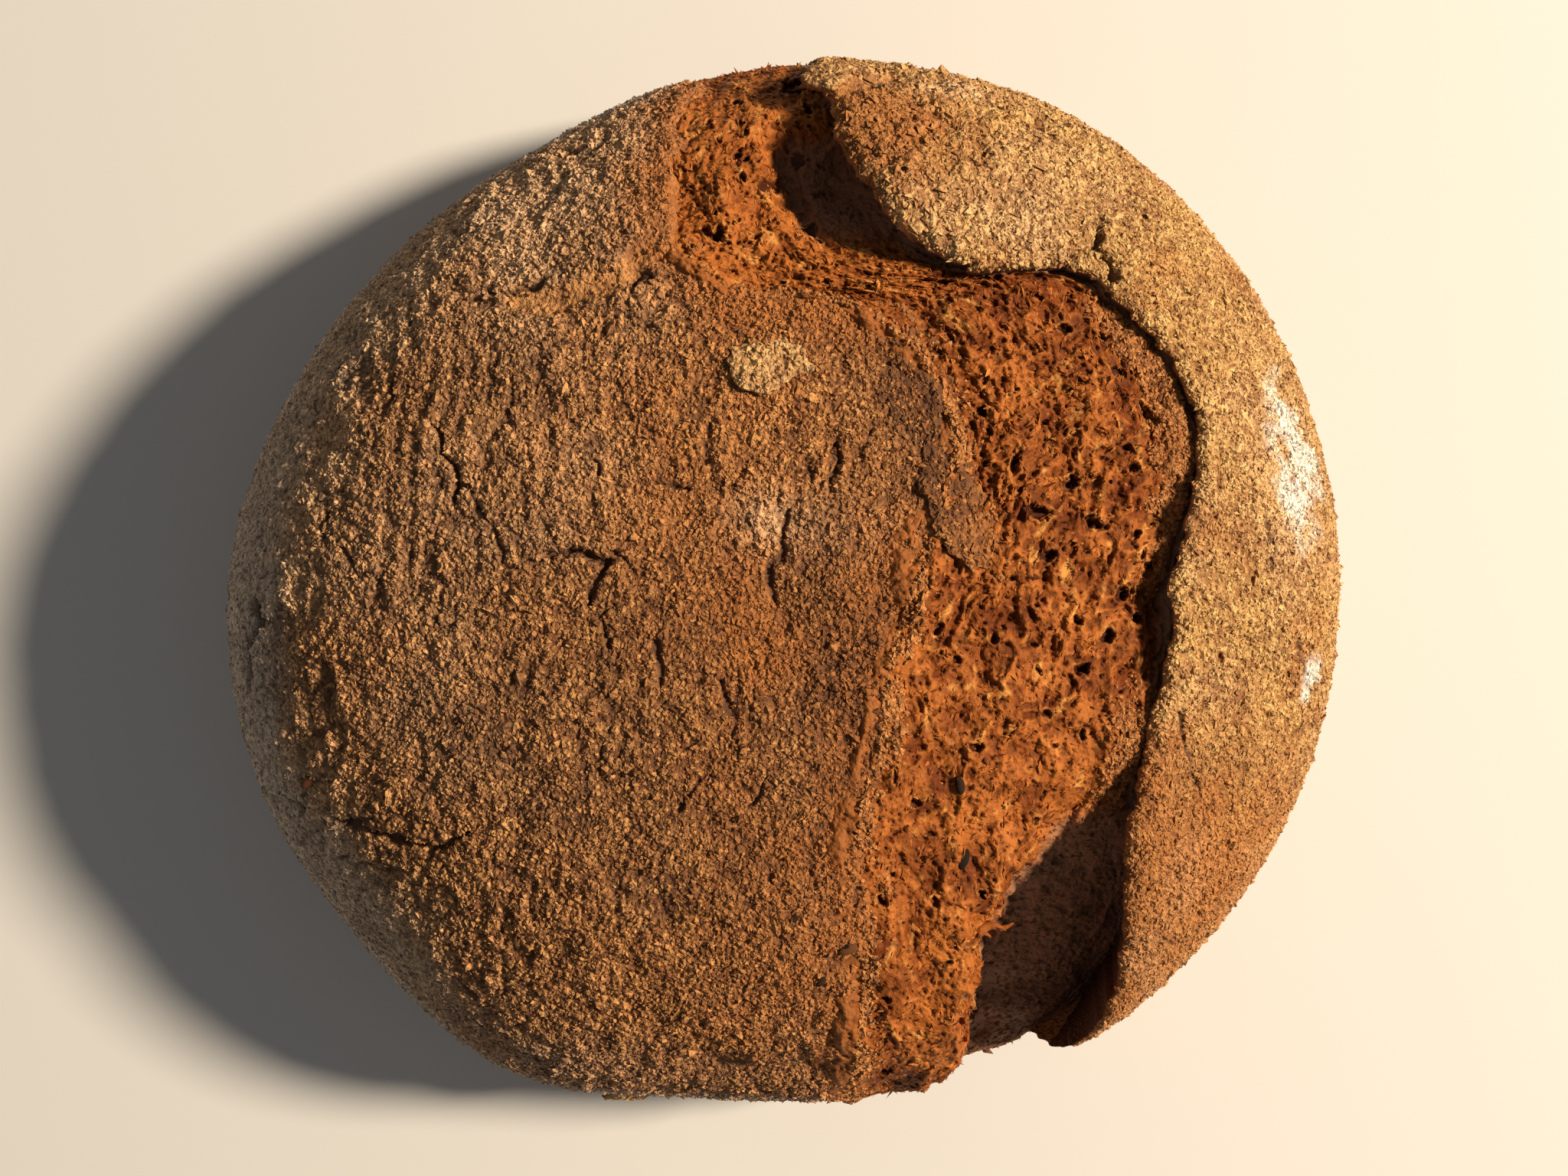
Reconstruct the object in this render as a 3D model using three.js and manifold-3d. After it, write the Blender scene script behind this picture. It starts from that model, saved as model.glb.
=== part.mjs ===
// A round country loaf that burst open along one side in the oven.
// Millimetres, +Z up, standing on its flat base. The burst rim is on the +X side.
//
// The crust is described on a flat skin: (x, y) measured from the crown, equal to the plan
// position on top of the loaf and to the length along the crust where it turns down the side.

import * as THREE from "three";
import { mergeVertices } from "three/addons/utils/BufferGeometryUtils.js";
import Module from "manifold-3d";

const wasm = await Module();
wasm.setup();

// Dough body
const LOAF_HEIGHT = 84;
const EQUATOR_HEIGHT = 22; // where the side is widest
const OUTLINE_STEP = 20; // degrees between the outline's radii, from +X towards +Y
const OUTLINE_RADII = [
  115, 115, 115, 114, 110, 107, 104, 106, 110,
  115, 116, 114, 115, 107, 107, 112, 114, 115,
];
const FOOT_SHARE = 0.9; // flat base radius as a share of the outline
const FOOT_ROLL = 1.15; // length of the rounded foot for each millimetre of its height
const SHOULDER_SHARE = 0.78; // share of the outline where the skin starts to follow the side
const CROWN_ROUNDNESS = 3.4; // above 2 the crown is flatter and the shoulders steeper
const CROWN_POWER = 0.5;
const RIM_DROP = 6; // how much lower the burst side is than the rest
const RIM_ANGLE = THREE.MathUtils.degToRad(-5);
const RIM_FOCUS = 1.5; // above 1 the drop keeps closer to the rim's middle
const CRUST_LUMPS = [
  { height: 1.1, size: 34 },
  { height: 0.55, size: 15 },
  { height: 0.4, size: 6 },
];
const LIP_RIDGE = 3; // the lip stands above the crust by this
const LIP_RIDGE_WIDTH = 13;
const TONGUE = { at: [30, 80], radius: 24, rise: 4 }; // puffed lobe at the upper end of the rim

// Mesh density of the dough body
const BODY_SEGMENTS = 96;
const CROWN_RINGS = 28;
const FOOT_RINGS = 5;

// The tear, from its upper end round to its lower end. Each station has the crust's inner edge and
// the lip's edge on the skin, the depth of the gap below the lip and how far it runs back under it,
// how much of that depth is a cliff in the crumb, and the share of the way across where the cliff is.
const TEAR_STATIONS = [
  { inner: [-23, 136], lip: [6, 138], depth: -4, undercut: 0, cliff: 0, cliffAt: 0.5 },
  { inner: [-19, 105], lip: [6, 104], depth: -2, undercut: 1, cliff: 0, cliffAt: 0.5 },
  { inner: [-20, 87], lip: [9, 90], depth: 4, undercut: 3, cliff: 0.5, cliffAt: 0.6 },
  { inner: [-22, 72], lip: [10.5, 80], depth: 14, undercut: 5, cliff: 0.8, cliffAt: 0.6 },
  { inner: [-18, 61], lip: [17, 69], depth: 10, undercut: 5, cliff: 0.6, cliffAt: 0.6 },
  { inner: [-7, 53], lip: [25.5, 60.5], depth: 3, undercut: 3, cliff: 0.2, cliffAt: 0.6 },
  { inner: [7, 52], lip: [36, 57.5], depth: 0.5, undercut: 2, cliff: 0, cliffAt: 0.6 },
  { inner: [20, 46], lip: [53, 58], depth: 0, undercut: 2, cliff: 0, cliffAt: 0.6 },
  { inner: [28, 35], lip: [64, 50], depth: -0.5, undercut: 2, cliff: 0, cliffAt: 0.6 },
  { inner: [30, 24], lip: [74, 37], depth: -0.8, undercut: 2, cliff: 0, cliffAt: 0.6 },
  { inner: [26, 11], lip: [76, 21], depth: -0.4, undercut: 2, cliff: 0, cliffAt: 0.6 },
  { inner: [22, -2], lip: [71, 3], depth: 2.5, undercut: 3, cliff: 0, cliffAt: 0.7 },
  { inner: [18, -15], lip: [70, -14], depth: 3, undercut: 3, cliff: 0, cliffAt: 0.8 },
  { inner: [17, -27], lip: [67, -28], depth: 1.5, undercut: 3, cliff: 0, cliffAt: 0.8 },
  { inner: [13, -43], lip: [64, -45], depth: 10, undercut: 3, cliff: 0.5, cliffAt: 0.72 },
  { inner: [14, -60], lip: [64, -60], depth: 24, undercut: 4, cliff: 0.9, cliffAt: 0.54 },
  { inner: [14, -78], lip: [64.5, -76], depth: 32, undercut: 4, cliff: 1, cliffAt: 0.47 },
  { inner: [13, -94], lip: [63.5, -89], depth: 33, undercut: 3, cliff: 1, cliffAt: 0.46 },
  { inner: [12, -112], lip: [63, -106], depth: 20, undercut: 2, cliff: 1, cliffAt: 0.46 },
  { inner: [13, -138], lip: [66, -130], depth: -2, undercut: 0, cliff: 1, cliffAt: 0.46 },
];
const TEAR_STEPS = 68;
const CRUMB_POINTS = 12; // points across the crumb
const CRUST_STEP = 1.2; // ragged step where the crust ends
const CRUMB_SLOPE = 1.7; // above 1 the crumb falls slowly at first
const CRUMB_BUMP = 1.0;
const CRUMB_BUMP_SIZE = 7;
const CLIFF_SPAN = 0.2; // share of the way across that a cliff takes
const GAP_WALL = [[1, 0.3], [0.7, 0.7]]; // wall under the lip: share of the undercut, share of the height
const CUT_LEAN = 2; // the cut leans this far over the crumb, so the lip's edge stays sharp
const CUT_CLEARANCE = 24; // how far the cutting solid stands above the crust

// Cracks in the crust, as points on the skin
const CRACK_STEPS = 8;
const CRACK_END = 0.25; // width and depth at a crack's ends as a share of its middle
const CRACK_CLEARANCE = 2;
const CRACKS = [
  { points: [[59, 68], [57, 62], [60, 57]], width: 2.2, depth: 3.5 },
  { points: [[6, 93], [15, 95], [27, 101]], width: 2.4, depth: 2.5 },
  { points: [[-104, -2], [-102, -7], [-106, -12], [-106, -20]], width: 2.4, depth: 2.2 },
  { points: [[-52, 10], [-49, 4], [-40, 7], [-33, 5], [-35, -3]], width: 1.4, depth: 1.6 },
  { points: [[-64, 29], [-61, 24], [-60, 17]], width: 1.4, depth: 1.6 },
  { points: [[1, 15], [-1, 6], [-2, -3]], width: 1.3, depth: 1.4 },
  { points: [[9, 27], [10, 22], [9, 18]], width: 1.3, depth: 1.4 },
  { points: [[-90, -45], [-76, -47], [-58, -46]], width: 1.5, depth: 1.5 },
  { points: [[24, 22], [24, 15], [29, 7], [40, 0]], width: 2.2, depth: 3.0 },
];

// Crust scraps and flakes that stand on the surface: place, half sizes, turn and thickness
const PLATES = [
  { at: [32, 12], halfLength: 13, halfWidth: 7, turn: -52, sink: 0.2, thickness: 1.9 },
  { at: [-3, 40], halfLength: 8.5, halfWidth: 4.5, turn: -5, sink: 0, thickness: 1.1 },
  { at: [-36, -119], halfLength: 6, halfWidth: 4, turn: 30, sink: 0, thickness: 2.2 },
];

const PLATE_RAGGED = [[3, 0.12], [7, 0.08]]; // waves round a plate's edge and their share of its size

// Whole seeds on the crust
const SEED_LENGTH = 4.4;
const SEED_WIDTH = 2.4;
const SEEDS = [
  { at: [12, -70], turn: 20 },
  { at: [33, -52], turn: 75 },
  { at: [2, -62], turn: 60 },
  { at: [-96, -38], turn: 40 },
];

const CRUST_COLOUR = 0x95643c;

const UP = new THREE.Vector3(0, 0, 1);
const MERGE_DISTANCE = 1e-3;
const EQUATOR_REACH = SHOULDER_SHARE + (1 - SHOULDER_SHARE) * (Math.PI / 2);
const FOOT_REACH = EQUATOR_REACH + (FOOT_ROLL * EQUATOR_HEIGHT) / OUTLINE_RADII[0];

// Smooth curve between two values, with the values on either side giving its slopes
function blend(before, from, to, after, share) {
  const slopeFrom = (to - before) / 2;
  const slopeTo = (after - from) / 2;
  const cubic = 2 * (from - to) + slopeFrom + slopeTo;
  const square = 3 * (to - from) - 2 * slopeFrom - slopeTo;
  return from + share * (slopeFrom + share * (square + share * cubic));
}

function outlineRadius(angle) {
  const place = THREE.MathUtils.euclideanModulo(THREE.MathUtils.radToDeg(angle), 360) / OUTLINE_STEP;
  const first = Math.floor(place);
  const pick = (k) => OUTLINE_RADII[THREE.MathUtils.euclideanModulo(first + k, OUTLINE_RADII.length)];
  return blend(pick(-1), pick(0), pick(1), pick(2), place - first);
}

// Point of the smooth loaf for a place on the skin
function skinPoint(x, y) {
  const angle = Math.atan2(y, x);
  const outline = outlineRadius(angle);
  const reach = Math.min(Math.hypot(x, y) / outline, FOOT_REACH);
  let spread = reach;
  let height = 0;
  if (reach > EQUATOR_REACH) {
    const under = ((reach - EQUATOR_REACH) / (FOOT_REACH - EQUATOR_REACH)) * (Math.PI / 2);
    spread = FOOT_SHARE + (1 - FOOT_SHARE) * Math.cos(under);
    height = EQUATOR_HEIGHT * (1 - Math.sin(under));
  } else {
    if (reach > SHOULDER_SHARE) {
      const side = 1 - SHOULDER_SHARE;
      spread = SHOULDER_SHARE + side * Math.sin((reach - SHOULDER_SHARE) / side);
    }
    const crown = Math.pow(Math.max(0, 1 - Math.pow(spread, CROWN_ROUNDNESS)), CROWN_POWER);
    const facing = Math.pow(Math.max(0, Math.cos(angle - RIM_ANGLE)), RIM_FOCUS);
    const drop = RIM_DROP * facing * 4 * spread ** 2 * (1 - spread ** 2);
    height = EQUATOR_HEIGHT + (LOAF_HEIGHT - EQUATOR_HEIGHT) * crown - drop;
  }
  const radius = spread * outline;
  return new THREE.Vector3(radius * Math.cos(angle), radius * Math.sin(angle), height);
}

function skinNormal(x, y) {
  const step = 0.5;
  const across = skinPoint(x + step, y).sub(skinPoint(x - step, y));
  const along = skinPoint(x, y + step).sub(skinPoint(x, y - step));
  return across.cross(along).normalize();
}

function raisedPoint(x, y, rise) {
  return skinPoint(x, y).addScaledVector(skinNormal(x, y), rise);
}

// As raisedPoint above the skin, and straight down below it
function tornPoint(x, y, rise) {
  return skinPoint(x, y).addScaledVector(rise < 0 ? UP : skinNormal(x, y), rise);
}

// Smooth noise between -1 and 1 on a square lattice, the same every time
function lattice(column, row) {
  const mixed = Math.sin(column * 127.1 + row * 311.7) * 43758.5453;
  return 2 * (mixed - Math.floor(mixed)) - 1;
}

function noise(x, y) {
  const column = Math.floor(x);
  const row = Math.floor(y);
  const ease = (share) => share * share * (3 - 2 * share);
  const [u, v] = [ease(x - column), ease(y - row)];
  const lower = THREE.MathUtils.lerp(lattice(column, row), lattice(column + 1, row), u);
  const upper = THREE.MathUtils.lerp(lattice(column, row + 1), lattice(column + 1, row + 1), u);
  return THREE.MathUtils.lerp(lower, upper, v);
}

// Value between the stations of the tear
function between(values, place) {
  const last = values.length - 1;
  const first = Math.min(Math.floor(place), last - 1);
  const pick = (k) => values[THREE.MathUtils.clamp(first + k, 0, last)];
  return blend(pick(-1), pick(0), pick(1), pick(2), place - first);
}

// The tear's values at a share of its length, from 0 at the upper end to 1 at the lower end
function tearAt(share) {
  const place = share * (TEAR_STATIONS.length - 1);
  const value = (read) => between(TEAR_STATIONS.map(read), place);
  const inner = new THREE.Vector2(value((s) => s.inner[0]), value((s) => s.inner[1]));
  const lip = new THREE.Vector2(value((s) => s.lip[0]), value((s) => s.lip[1]));
  const outward = lip.clone().sub(inner).normalize();
  const depth = value((s) => s.depth);
  const cliff = THREE.MathUtils.clamp(value((s) => s.cliff), 0, 1);
  const cliffAt = value((s) => s.cliffAt);
  const undercut = Math.max(0, value((s) => s.undercut));
  return { inner, lip, outward, depth, undercut, cliff, cliffAt };
}

const LIP_LINE = Array.from({ length: 4 * TEAR_STEPS + 1 }, (_, step) => tearAt(step / (4 * TEAR_STEPS)));

// Distance to the lip's edge, negative on the crumb's side
function distanceToLip(x, y) {
  let nearest = Infinity;
  let side = 0;
  for (const { lip, outward } of LIP_LINE) {
    const distance = Math.hypot(x - lip.x, y - lip.y);
    if (distance < nearest) {
      nearest = distance;
      side = Math.sign((x - lip.x) * outward.x + (y - lip.y) * outward.y);
    }
  }
  return nearest * side;
}

// Height of the ridge along the lip and of the puffed lobe behind it
function rimRise(x, y) {
  const distance = distanceToLip(x, y);
  const ridge = LIP_RIDGE * Math.exp(-((distance / LIP_RIDGE_WIDTH) ** 2));
  const fromTongue = Math.hypot(x - TONGUE.at[0], y - TONGUE.at[1]) / TONGUE.radius;
  const behindLip = THREE.MathUtils.smoothstep(distance, -LIP_RIDGE_WIDTH, -LIP_RIDGE_WIDTH / 2);
  return ridge + TONGUE.rise * behindLip * Math.exp(-(fromTongue ** 2));
}

function crustRise(x, y) {
  const reach = Math.hypot(x, y) / outlineRadius(Math.atan2(y, x));
  const fade = 1 - THREE.MathUtils.smoothstep(reach, SHOULDER_SHARE, EQUATOR_REACH);
  let rise = rimRise(x, y);
  for (const { height, size } of CRUST_LUMPS) {
    rise += height * noise(x / size, y / size);
  }
  return fade * rise;
}

// Closed solid of a geometry whose corners are shared and whose faces point out
function solidOf(geometry) {
  geometry.deleteAttribute("normal");
  geometry.deleteAttribute("uv");
  const merged = mergeVertices(geometry, MERGE_DISTANCE);
  const corners = [];
  const index = merged.getIndex();
  for (let i = 0; i < index.count; i += 3) {
    const [a, b, c] = [index.getX(i), index.getX(i + 1), index.getX(i + 2)];
    if (a !== b && b !== c && c !== a) {
      corners.push(a, b, c);
    }
  }
  const vertProperties = new Float32Array(merged.getAttribute("position").array);
  const build = (order) => new wasm.Manifold(new wasm.Mesh({ numProp: 3, vertProperties, triVerts: order }));
  const solid = build(new Uint32Array(corners));
  return solid.volume() > 0 ? solid : build(new Uint32Array(corners).reverse());
}

// A turned body of the loaf's profile along +X, warped to the outline and the crust's relief
function doughBody() {
  const reaches = [];
  for (let ring = 0; ring <= CROWN_RINGS; ring += 1) {
    reaches.push((EQUATOR_REACH * ring) / CROWN_RINGS);
  }
  for (let ring = 1; ring <= FOOT_RINGS; ring += 1) {
    reaches.push(THREE.MathUtils.lerp(EQUATOR_REACH, FOOT_REACH, ring / FOOT_RINGS));
  }
  const profile = reaches.map((reach) => {
    const point = skinPoint(reach * OUTLINE_RADII[0], 0);
    return new THREE.Vector2(point.x, point.z);
  });
  profile.push(new THREE.Vector2(0, 0));
  const geometry = new THREE.LatheGeometry(profile, BODY_SEGMENTS);
  const position = geometry.getAttribute("position");
  for (let vertex = 0; vertex < position.count; vertex += 1) {
    const row = vertex % profile.length;
    const segment = Math.floor(vertex / profile.length) % BODY_SEGMENTS;
    const angle = (segment / BODY_SEGMENTS) * 2 * Math.PI;
    const point = new THREE.Vector3();
    if (row < reaches.length) {
      const distance = reaches[row] * outlineRadius(angle);
      const [x, y] = [distance * Math.cos(angle), distance * Math.sin(angle)];
      point.copy(raisedPoint(x, y, crustRise(x, y)));
    }
    const height = row < reaches.length - 1 ? point.z : 0;
    position.setXYZ(vertex, point.x, point.y, height);
  }
  return solidOf(geometry);
}

// Closed sweep: place(share, side) gives the corner of each section from the first to the last
function sweptSolid(steps, sides, place) {
  const geometry = new THREE.CylinderGeometry(1, 1, 1, sides, steps);
  const position = geometry.getAttribute("position");
  const vertex = new THREE.Vector3();
  for (let i = 0; i < position.count; i += 1) {
    vertex.fromBufferAttribute(position, i);
    const share = 0.5 - vertex.y;
    let point = new THREE.Vector3();
    if (Math.hypot(vertex.x, vertex.z) < 0.5) {
      for (let side = 0; side < sides; side += 1) {
        point.addScaledVector(place(share, side), 1 / sides);
      }
    } else {
      const turn = Math.atan2(vertex.x, vertex.z) / (2 * Math.PI);
      point = place(share, Math.round((turn + 1) * sides) % sides);
    }
    position.setXYZ(i, point.x, point.y, point.z);
  }
  return solidOf(geometry);
}

// Height of the open crumb over the skin, for a share of the way from the inner edge to the lip
function crumbRise(tear, across, x, y) {
  const start = tear.cliffAt - CLIFF_SPAN / 2;
  const drop = THREE.MathUtils.smoothstep(across, start, start + CLIFF_SPAN);
  const fall = tear.depth * THREE.MathUtils.lerp(across ** CRUMB_SLOPE, drop, tear.cliff);
  const bump = CRUMB_BUMP * noise(x / CRUMB_BUMP_SIZE, y / CRUMB_BUMP_SIZE);
  return bump - CRUST_STEP - fall;
}

// Height of whatever shows at a place on the skin: crumb inside the tear and crust elsewhere
function surfaceRise(x, y) {
  let nearest = Infinity;
  let rise = crustRise(x, y);
  for (const tear of LIP_LINE) {
    const span = tear.lip.clone().sub(tear.inner);
    const offset = new THREE.Vector2(x, y).sub(tear.inner);
    const across = offset.dot(span) / span.lengthSq();
    const distance = offset.addScaledVector(span, -across).length();
    if (across > 0 && across < 1 && distance < Math.min(nearest, span.length() / TEAR_STEPS)) {
      nearest = distance;
      rise = Math.min(crustRise(x, y), crumbRise(tear, across, x, y));
    }
  }
  return rise;
}

// The space of the tear: crumb below, the wall under the lip, and clear air above
function tearSpace() {
  const sides = CRUMB_POINTS + GAP_WALL.length + 3;
  const place = (share, side) => {
    const tear = tearAt(share);
    if (side < CRUMB_POINTS) {
      const across = side / (CRUMB_POINTS - 1);
      const spot = tear.inner.clone().lerp(tear.lip, across);
      return tornPoint(spot.x, spot.y, crumbRise(tear, across, spot.x, spot.y));
    }
    const bottom = -CRUST_STEP - tear.depth;
    const top = Math.max(rimRise(tear.lip.x, tear.lip.y), bottom + 1);
    const wall = GAP_WALL.map(([back, up]) => [back * tear.undercut, THREE.MathUtils.lerp(bottom, top, up)]);
    const corner = [...wall, [0, top], [-CUT_LEAN, CUT_CLEARANCE]][side - CRUMB_POINTS];
    if (corner) {
      const spot = tear.lip.clone().addScaledVector(tear.outward, corner[0]);
      return tornPoint(spot.x, spot.y, corner[1]);
    }
    return raisedPoint(tear.inner.x, tear.inner.y, CUT_CLEARANCE);
  };
  return sweptSolid(TEAR_STEPS, sides, place);
}

function crackSpace({ points, width, depth }) {
  const line = new THREE.CatmullRomCurve3(points.map(([x, y]) => new THREE.Vector3(x, y, 0)));
  const place = (share, side) => {
    const spot = line.getPoint(share);
    const heading = line.getTangent(share);
    const swell = THREE.MathUtils.lerp(CRACK_END, 1, Math.sin(Math.PI * share));
    const across = [-0.5, 0, 0.5][side] * width * swell;
    const rise = crustRise(spot.x, spot.y) + (side === 1 ? -depth * swell : CRACK_CLEARANCE);
    return raisedPoint(spot.x - heading.y * across, spot.y + heading.x * across, rise);
  };
  return sweptSolid(CRACK_STEPS, 3, place);
}

// Moves a unit ball's corners to a shape lying on the surface; spread gives their place and rise
function layOnSkin(geometry, at, turn, spread) {
  const position = geometry.getAttribute("position");
  const angle = THREE.MathUtils.degToRad(turn);
  for (let i = 0; i < position.count; i += 1) {
    const { along, across, rise } = spread(position.getX(i), position.getZ(i), position.getY(i));
    const x = at[0] + along * Math.cos(angle) - across * Math.sin(angle);
    const y = at[1] + along * Math.sin(angle) + across * Math.cos(angle);
    const point = raisedPoint(x, y, surfaceRise(x, y) + rise);
    position.setXYZ(i, point.x, point.y, point.z);
  }
  return solidOf(geometry);
}

// A ragged scrap of crust lying on the surface
function crustPlate({ at, halfLength, halfWidth, turn, sink, thickness }) {
  return layOnSkin(new THREE.SphereGeometry(1, 14, 8), at, turn, (x, y, z) => {
    const angle = Math.atan2(y, x);
    let ragged = 1;
    for (const [waves, share] of PLATE_RAGGED) {
      ragged += share * Math.sin(waves * angle + 1);
    }
    return { along: x * halfLength * ragged, across: y * halfWidth * ragged, rise: z * thickness - sink };
  });
}

function seed({ at, turn }) {
  return layOnSkin(new THREE.SphereGeometry(1, 6, 4), at, turn, (x, y, z) => {
    return { along: (x * SEED_LENGTH) / 2, across: (y * SEED_WIDTH) / 2, rise: (z * SEED_WIDTH) / 2 };
  });
}

// Middle of the outline's box, which becomes the part's origin
function outlineMiddle() {
  const box = new THREE.Box2();
  for (let step = 0; step < 360; step += 1) {
    const angle = THREE.MathUtils.degToRad(step);
    const radius = outlineRadius(angle);
    box.expandByPoint(new THREE.Vector2(radius * Math.cos(angle), radius * Math.sin(angle)));
  }
  return box.getCenter(new THREE.Vector2());
}

function loafSolid() {
  let loaf = doughBody().subtract(tearSpace());
  for (const plate of PLATES) {
    loaf = loaf.add(crustPlate(plate));
  }
  for (const crack of CRACKS) {
    loaf = loaf.subtract(crackSpace(crack));
  }
  for (const place of SEEDS) {
    loaf = loaf.add(seed(place));
  }
  return loaf;
}

function loafMesh() {
  const { vertProperties, triVerts } = loafSolid().getMesh();
  const geometry = new THREE.BufferGeometry();
  geometry.setAttribute("position", new THREE.BufferAttribute(vertProperties, 3));
  geometry.setIndex(new THREE.BufferAttribute(triVerts, 1));
  geometry.computeVertexNormals();
  const material = new THREE.MeshStandardMaterial({ color: CRUST_COLOUR, roughness: 0.9, metalness: 0 });
  const mesh = new THREE.Mesh(geometry, material);
  mesh.name = "loaf";
  const middle = outlineMiddle();
  mesh.position.set(-middle.x, -middle.y, 0);
  return mesh;
}

const bread = new THREE.Group();
bread.add(loafMesh());

export default bread;
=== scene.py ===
"""A round multigrain loaf that burst open in the oven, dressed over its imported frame."""

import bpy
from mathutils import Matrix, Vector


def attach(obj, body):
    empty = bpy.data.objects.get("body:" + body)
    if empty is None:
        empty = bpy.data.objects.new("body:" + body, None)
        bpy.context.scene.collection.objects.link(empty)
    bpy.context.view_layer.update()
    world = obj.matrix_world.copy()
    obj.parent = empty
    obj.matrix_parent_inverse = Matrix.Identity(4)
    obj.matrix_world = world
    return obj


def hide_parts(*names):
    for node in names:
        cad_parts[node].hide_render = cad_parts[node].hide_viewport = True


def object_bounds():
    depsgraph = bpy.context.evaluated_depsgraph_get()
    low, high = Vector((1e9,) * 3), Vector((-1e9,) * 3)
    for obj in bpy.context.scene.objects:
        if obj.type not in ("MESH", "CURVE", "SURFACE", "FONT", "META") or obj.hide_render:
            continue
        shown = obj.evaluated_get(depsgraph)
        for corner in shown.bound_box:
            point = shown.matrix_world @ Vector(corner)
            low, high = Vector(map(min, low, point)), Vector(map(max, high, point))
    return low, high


bl_info = {
    "name": "Burst Multigrain Loaf",
    "version": (1, 0, 0),
    "blender": (4, 5, 0),
    "location": "View3D > Sidebar > Loaf",
    "description": "Models the crust, torn crumb, bran and seeds of a round multigrain loaf",
    "category": "Object",
}

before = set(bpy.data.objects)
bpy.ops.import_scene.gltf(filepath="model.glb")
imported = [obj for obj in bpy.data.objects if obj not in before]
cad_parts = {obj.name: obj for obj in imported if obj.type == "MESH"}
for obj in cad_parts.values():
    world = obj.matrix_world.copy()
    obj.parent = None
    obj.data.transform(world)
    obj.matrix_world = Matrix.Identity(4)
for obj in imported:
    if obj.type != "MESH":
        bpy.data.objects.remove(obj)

import math
from types import SimpleNamespace

import bmesh
import bpy
import numpy as np
from bpy.props import FloatProperty, FloatVectorProperty, IntProperty, PointerProperty
from mathutils import Matrix

CAD_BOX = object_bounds()
BODY = "root"
NODE = "loaf"
MM = 0.001

# Outline and profile of the loaf in millimetres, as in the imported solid
LOAF_HEIGHT = 84.0
EQUATOR_HEIGHT = 22.0
OUTLINE_STEP = 20.0
OUTLINE_RADII = np.array(
    [115, 115, 115, 114, 110, 107, 104, 106, 110, 115, 116, 114, 115, 107, 107, 112, 114, 115.0]
)
FOOT_SHARE = 0.9
FOOT_ROLL = 1.15
FOOT_RELIEF = 0.6
SHOULDER_SHARE = 0.78
CROWN_ROUNDNESS = 3.4
CROWN_POWER = 0.5
RIM_DROP = 6.0
RIM_ANGLE = math.radians(-5)
RIM_FOCUS = 1.5
CRUST_LUMPS = ((1.1, 34.0), (0.55, 15.0), (0.4, 6.0))
LIP_RIDGE = 3.0
LIP_RIDGE_WIDTH = 13.0
TONGUE_PLACE = (30.0, 80.0)
TONGUE_RADIUS = 24.0
TONGUE_RISE = 4.0
# Reaches, as shares of the outline along the skin, where the side, the bare low side and the foot start
SIDE_FROM, SIDE_TO = 0.93, 1.08
GRAINS_TO, BARE_FROM = 1.05, 1.16
FOOT_FADE_FROM = 1.24
EQUATOR_REACH = SHOULDER_SHARE + (1 - SHOULDER_SHARE) * math.pi / 2
FOOT_REACH = EQUATOR_REACH + FOOT_ROLL * EQUATOR_HEIGHT / OUTLINE_RADII[0]

# Stations of the tear from its upper end to its lower end, and the columns of each
INNER = slice(0, 2)
LIP = slice(2, 4)
DEPTH, UNDERCUT, CLIFF, CLIFF_PLACE, LIP_RADIUS = 4, 5, 6, 7, 8
TEAR_STATIONS = np.array([
    (-23, 136, 6, 138, -4, 0, 0.0, 0.5, 1.5),
    (-19, 105, 6, 104, -2, 1, 0.0, 0.5, 2.4),
    (-20, 87, 9, 90, 4, 3, 0.5, 0.6, 3.0),
    (-22, 72, 10.5, 80, 14, 5, 0.8, 0.6, 3.4),
    (-18, 61, 17, 69, 10, 5, 0.6, 0.6, 3.4),
    (-7, 53, 25.5, 60.5, 3, 3, 0.2, 0.6, 3.0),
    (7, 52, 36, 57.5, 0.5, 2, 0.0, 0.6, 2.5),
    (20, 46, 53, 58, 0, 2, 0.0, 0.6, 2.0),
    (28, 35, 64, 50, -0.5, 2, 0.0, 0.6, 1.8),
    (30, 24, 74, 37, -0.8, 2, 0.0, 0.6, 1.8),
    (26, 11, 76, 21, -0.4, 2, 0.0, 0.6, 1.8),
    (22, -2, 71, 3, 2.5, 3, 0.0, 0.7, 1.8),
    (18, -15, 70, -14, 3, 3, 0.0, 0.8, 2.0),
    (17, -27, 67, -28, 1.5, 3, 0.0, 0.8, 2.4),
    (13, -43, 64, -45, 10, 3, 0.5, 0.72, 2.4),
    (14, -60, 64, -60, 24, 4, 0.9, 0.54, 2.0),
    (14, -78, 64.5, -76, 32, 4, 1.0, 0.47, 1.6),
    (13, -94, 63.5, -89, 33, 3, 1.0, 0.46, 1.5),
    (12, -112, 63, -106, 20, 2, 1.0, 0.46, 1.5),
    (13, -138, 66, -130, -2, 0, 1.0, 0.46, 1.5),
], dtype=float)
CRUST_STEP = 1.2
CRUMB_SLOPE = 1.7
CRUMB_BUMP = 1.0
CRUMB_BUMP_SIZE = 7.0
CLIFF_SPAN = 0.2

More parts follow.
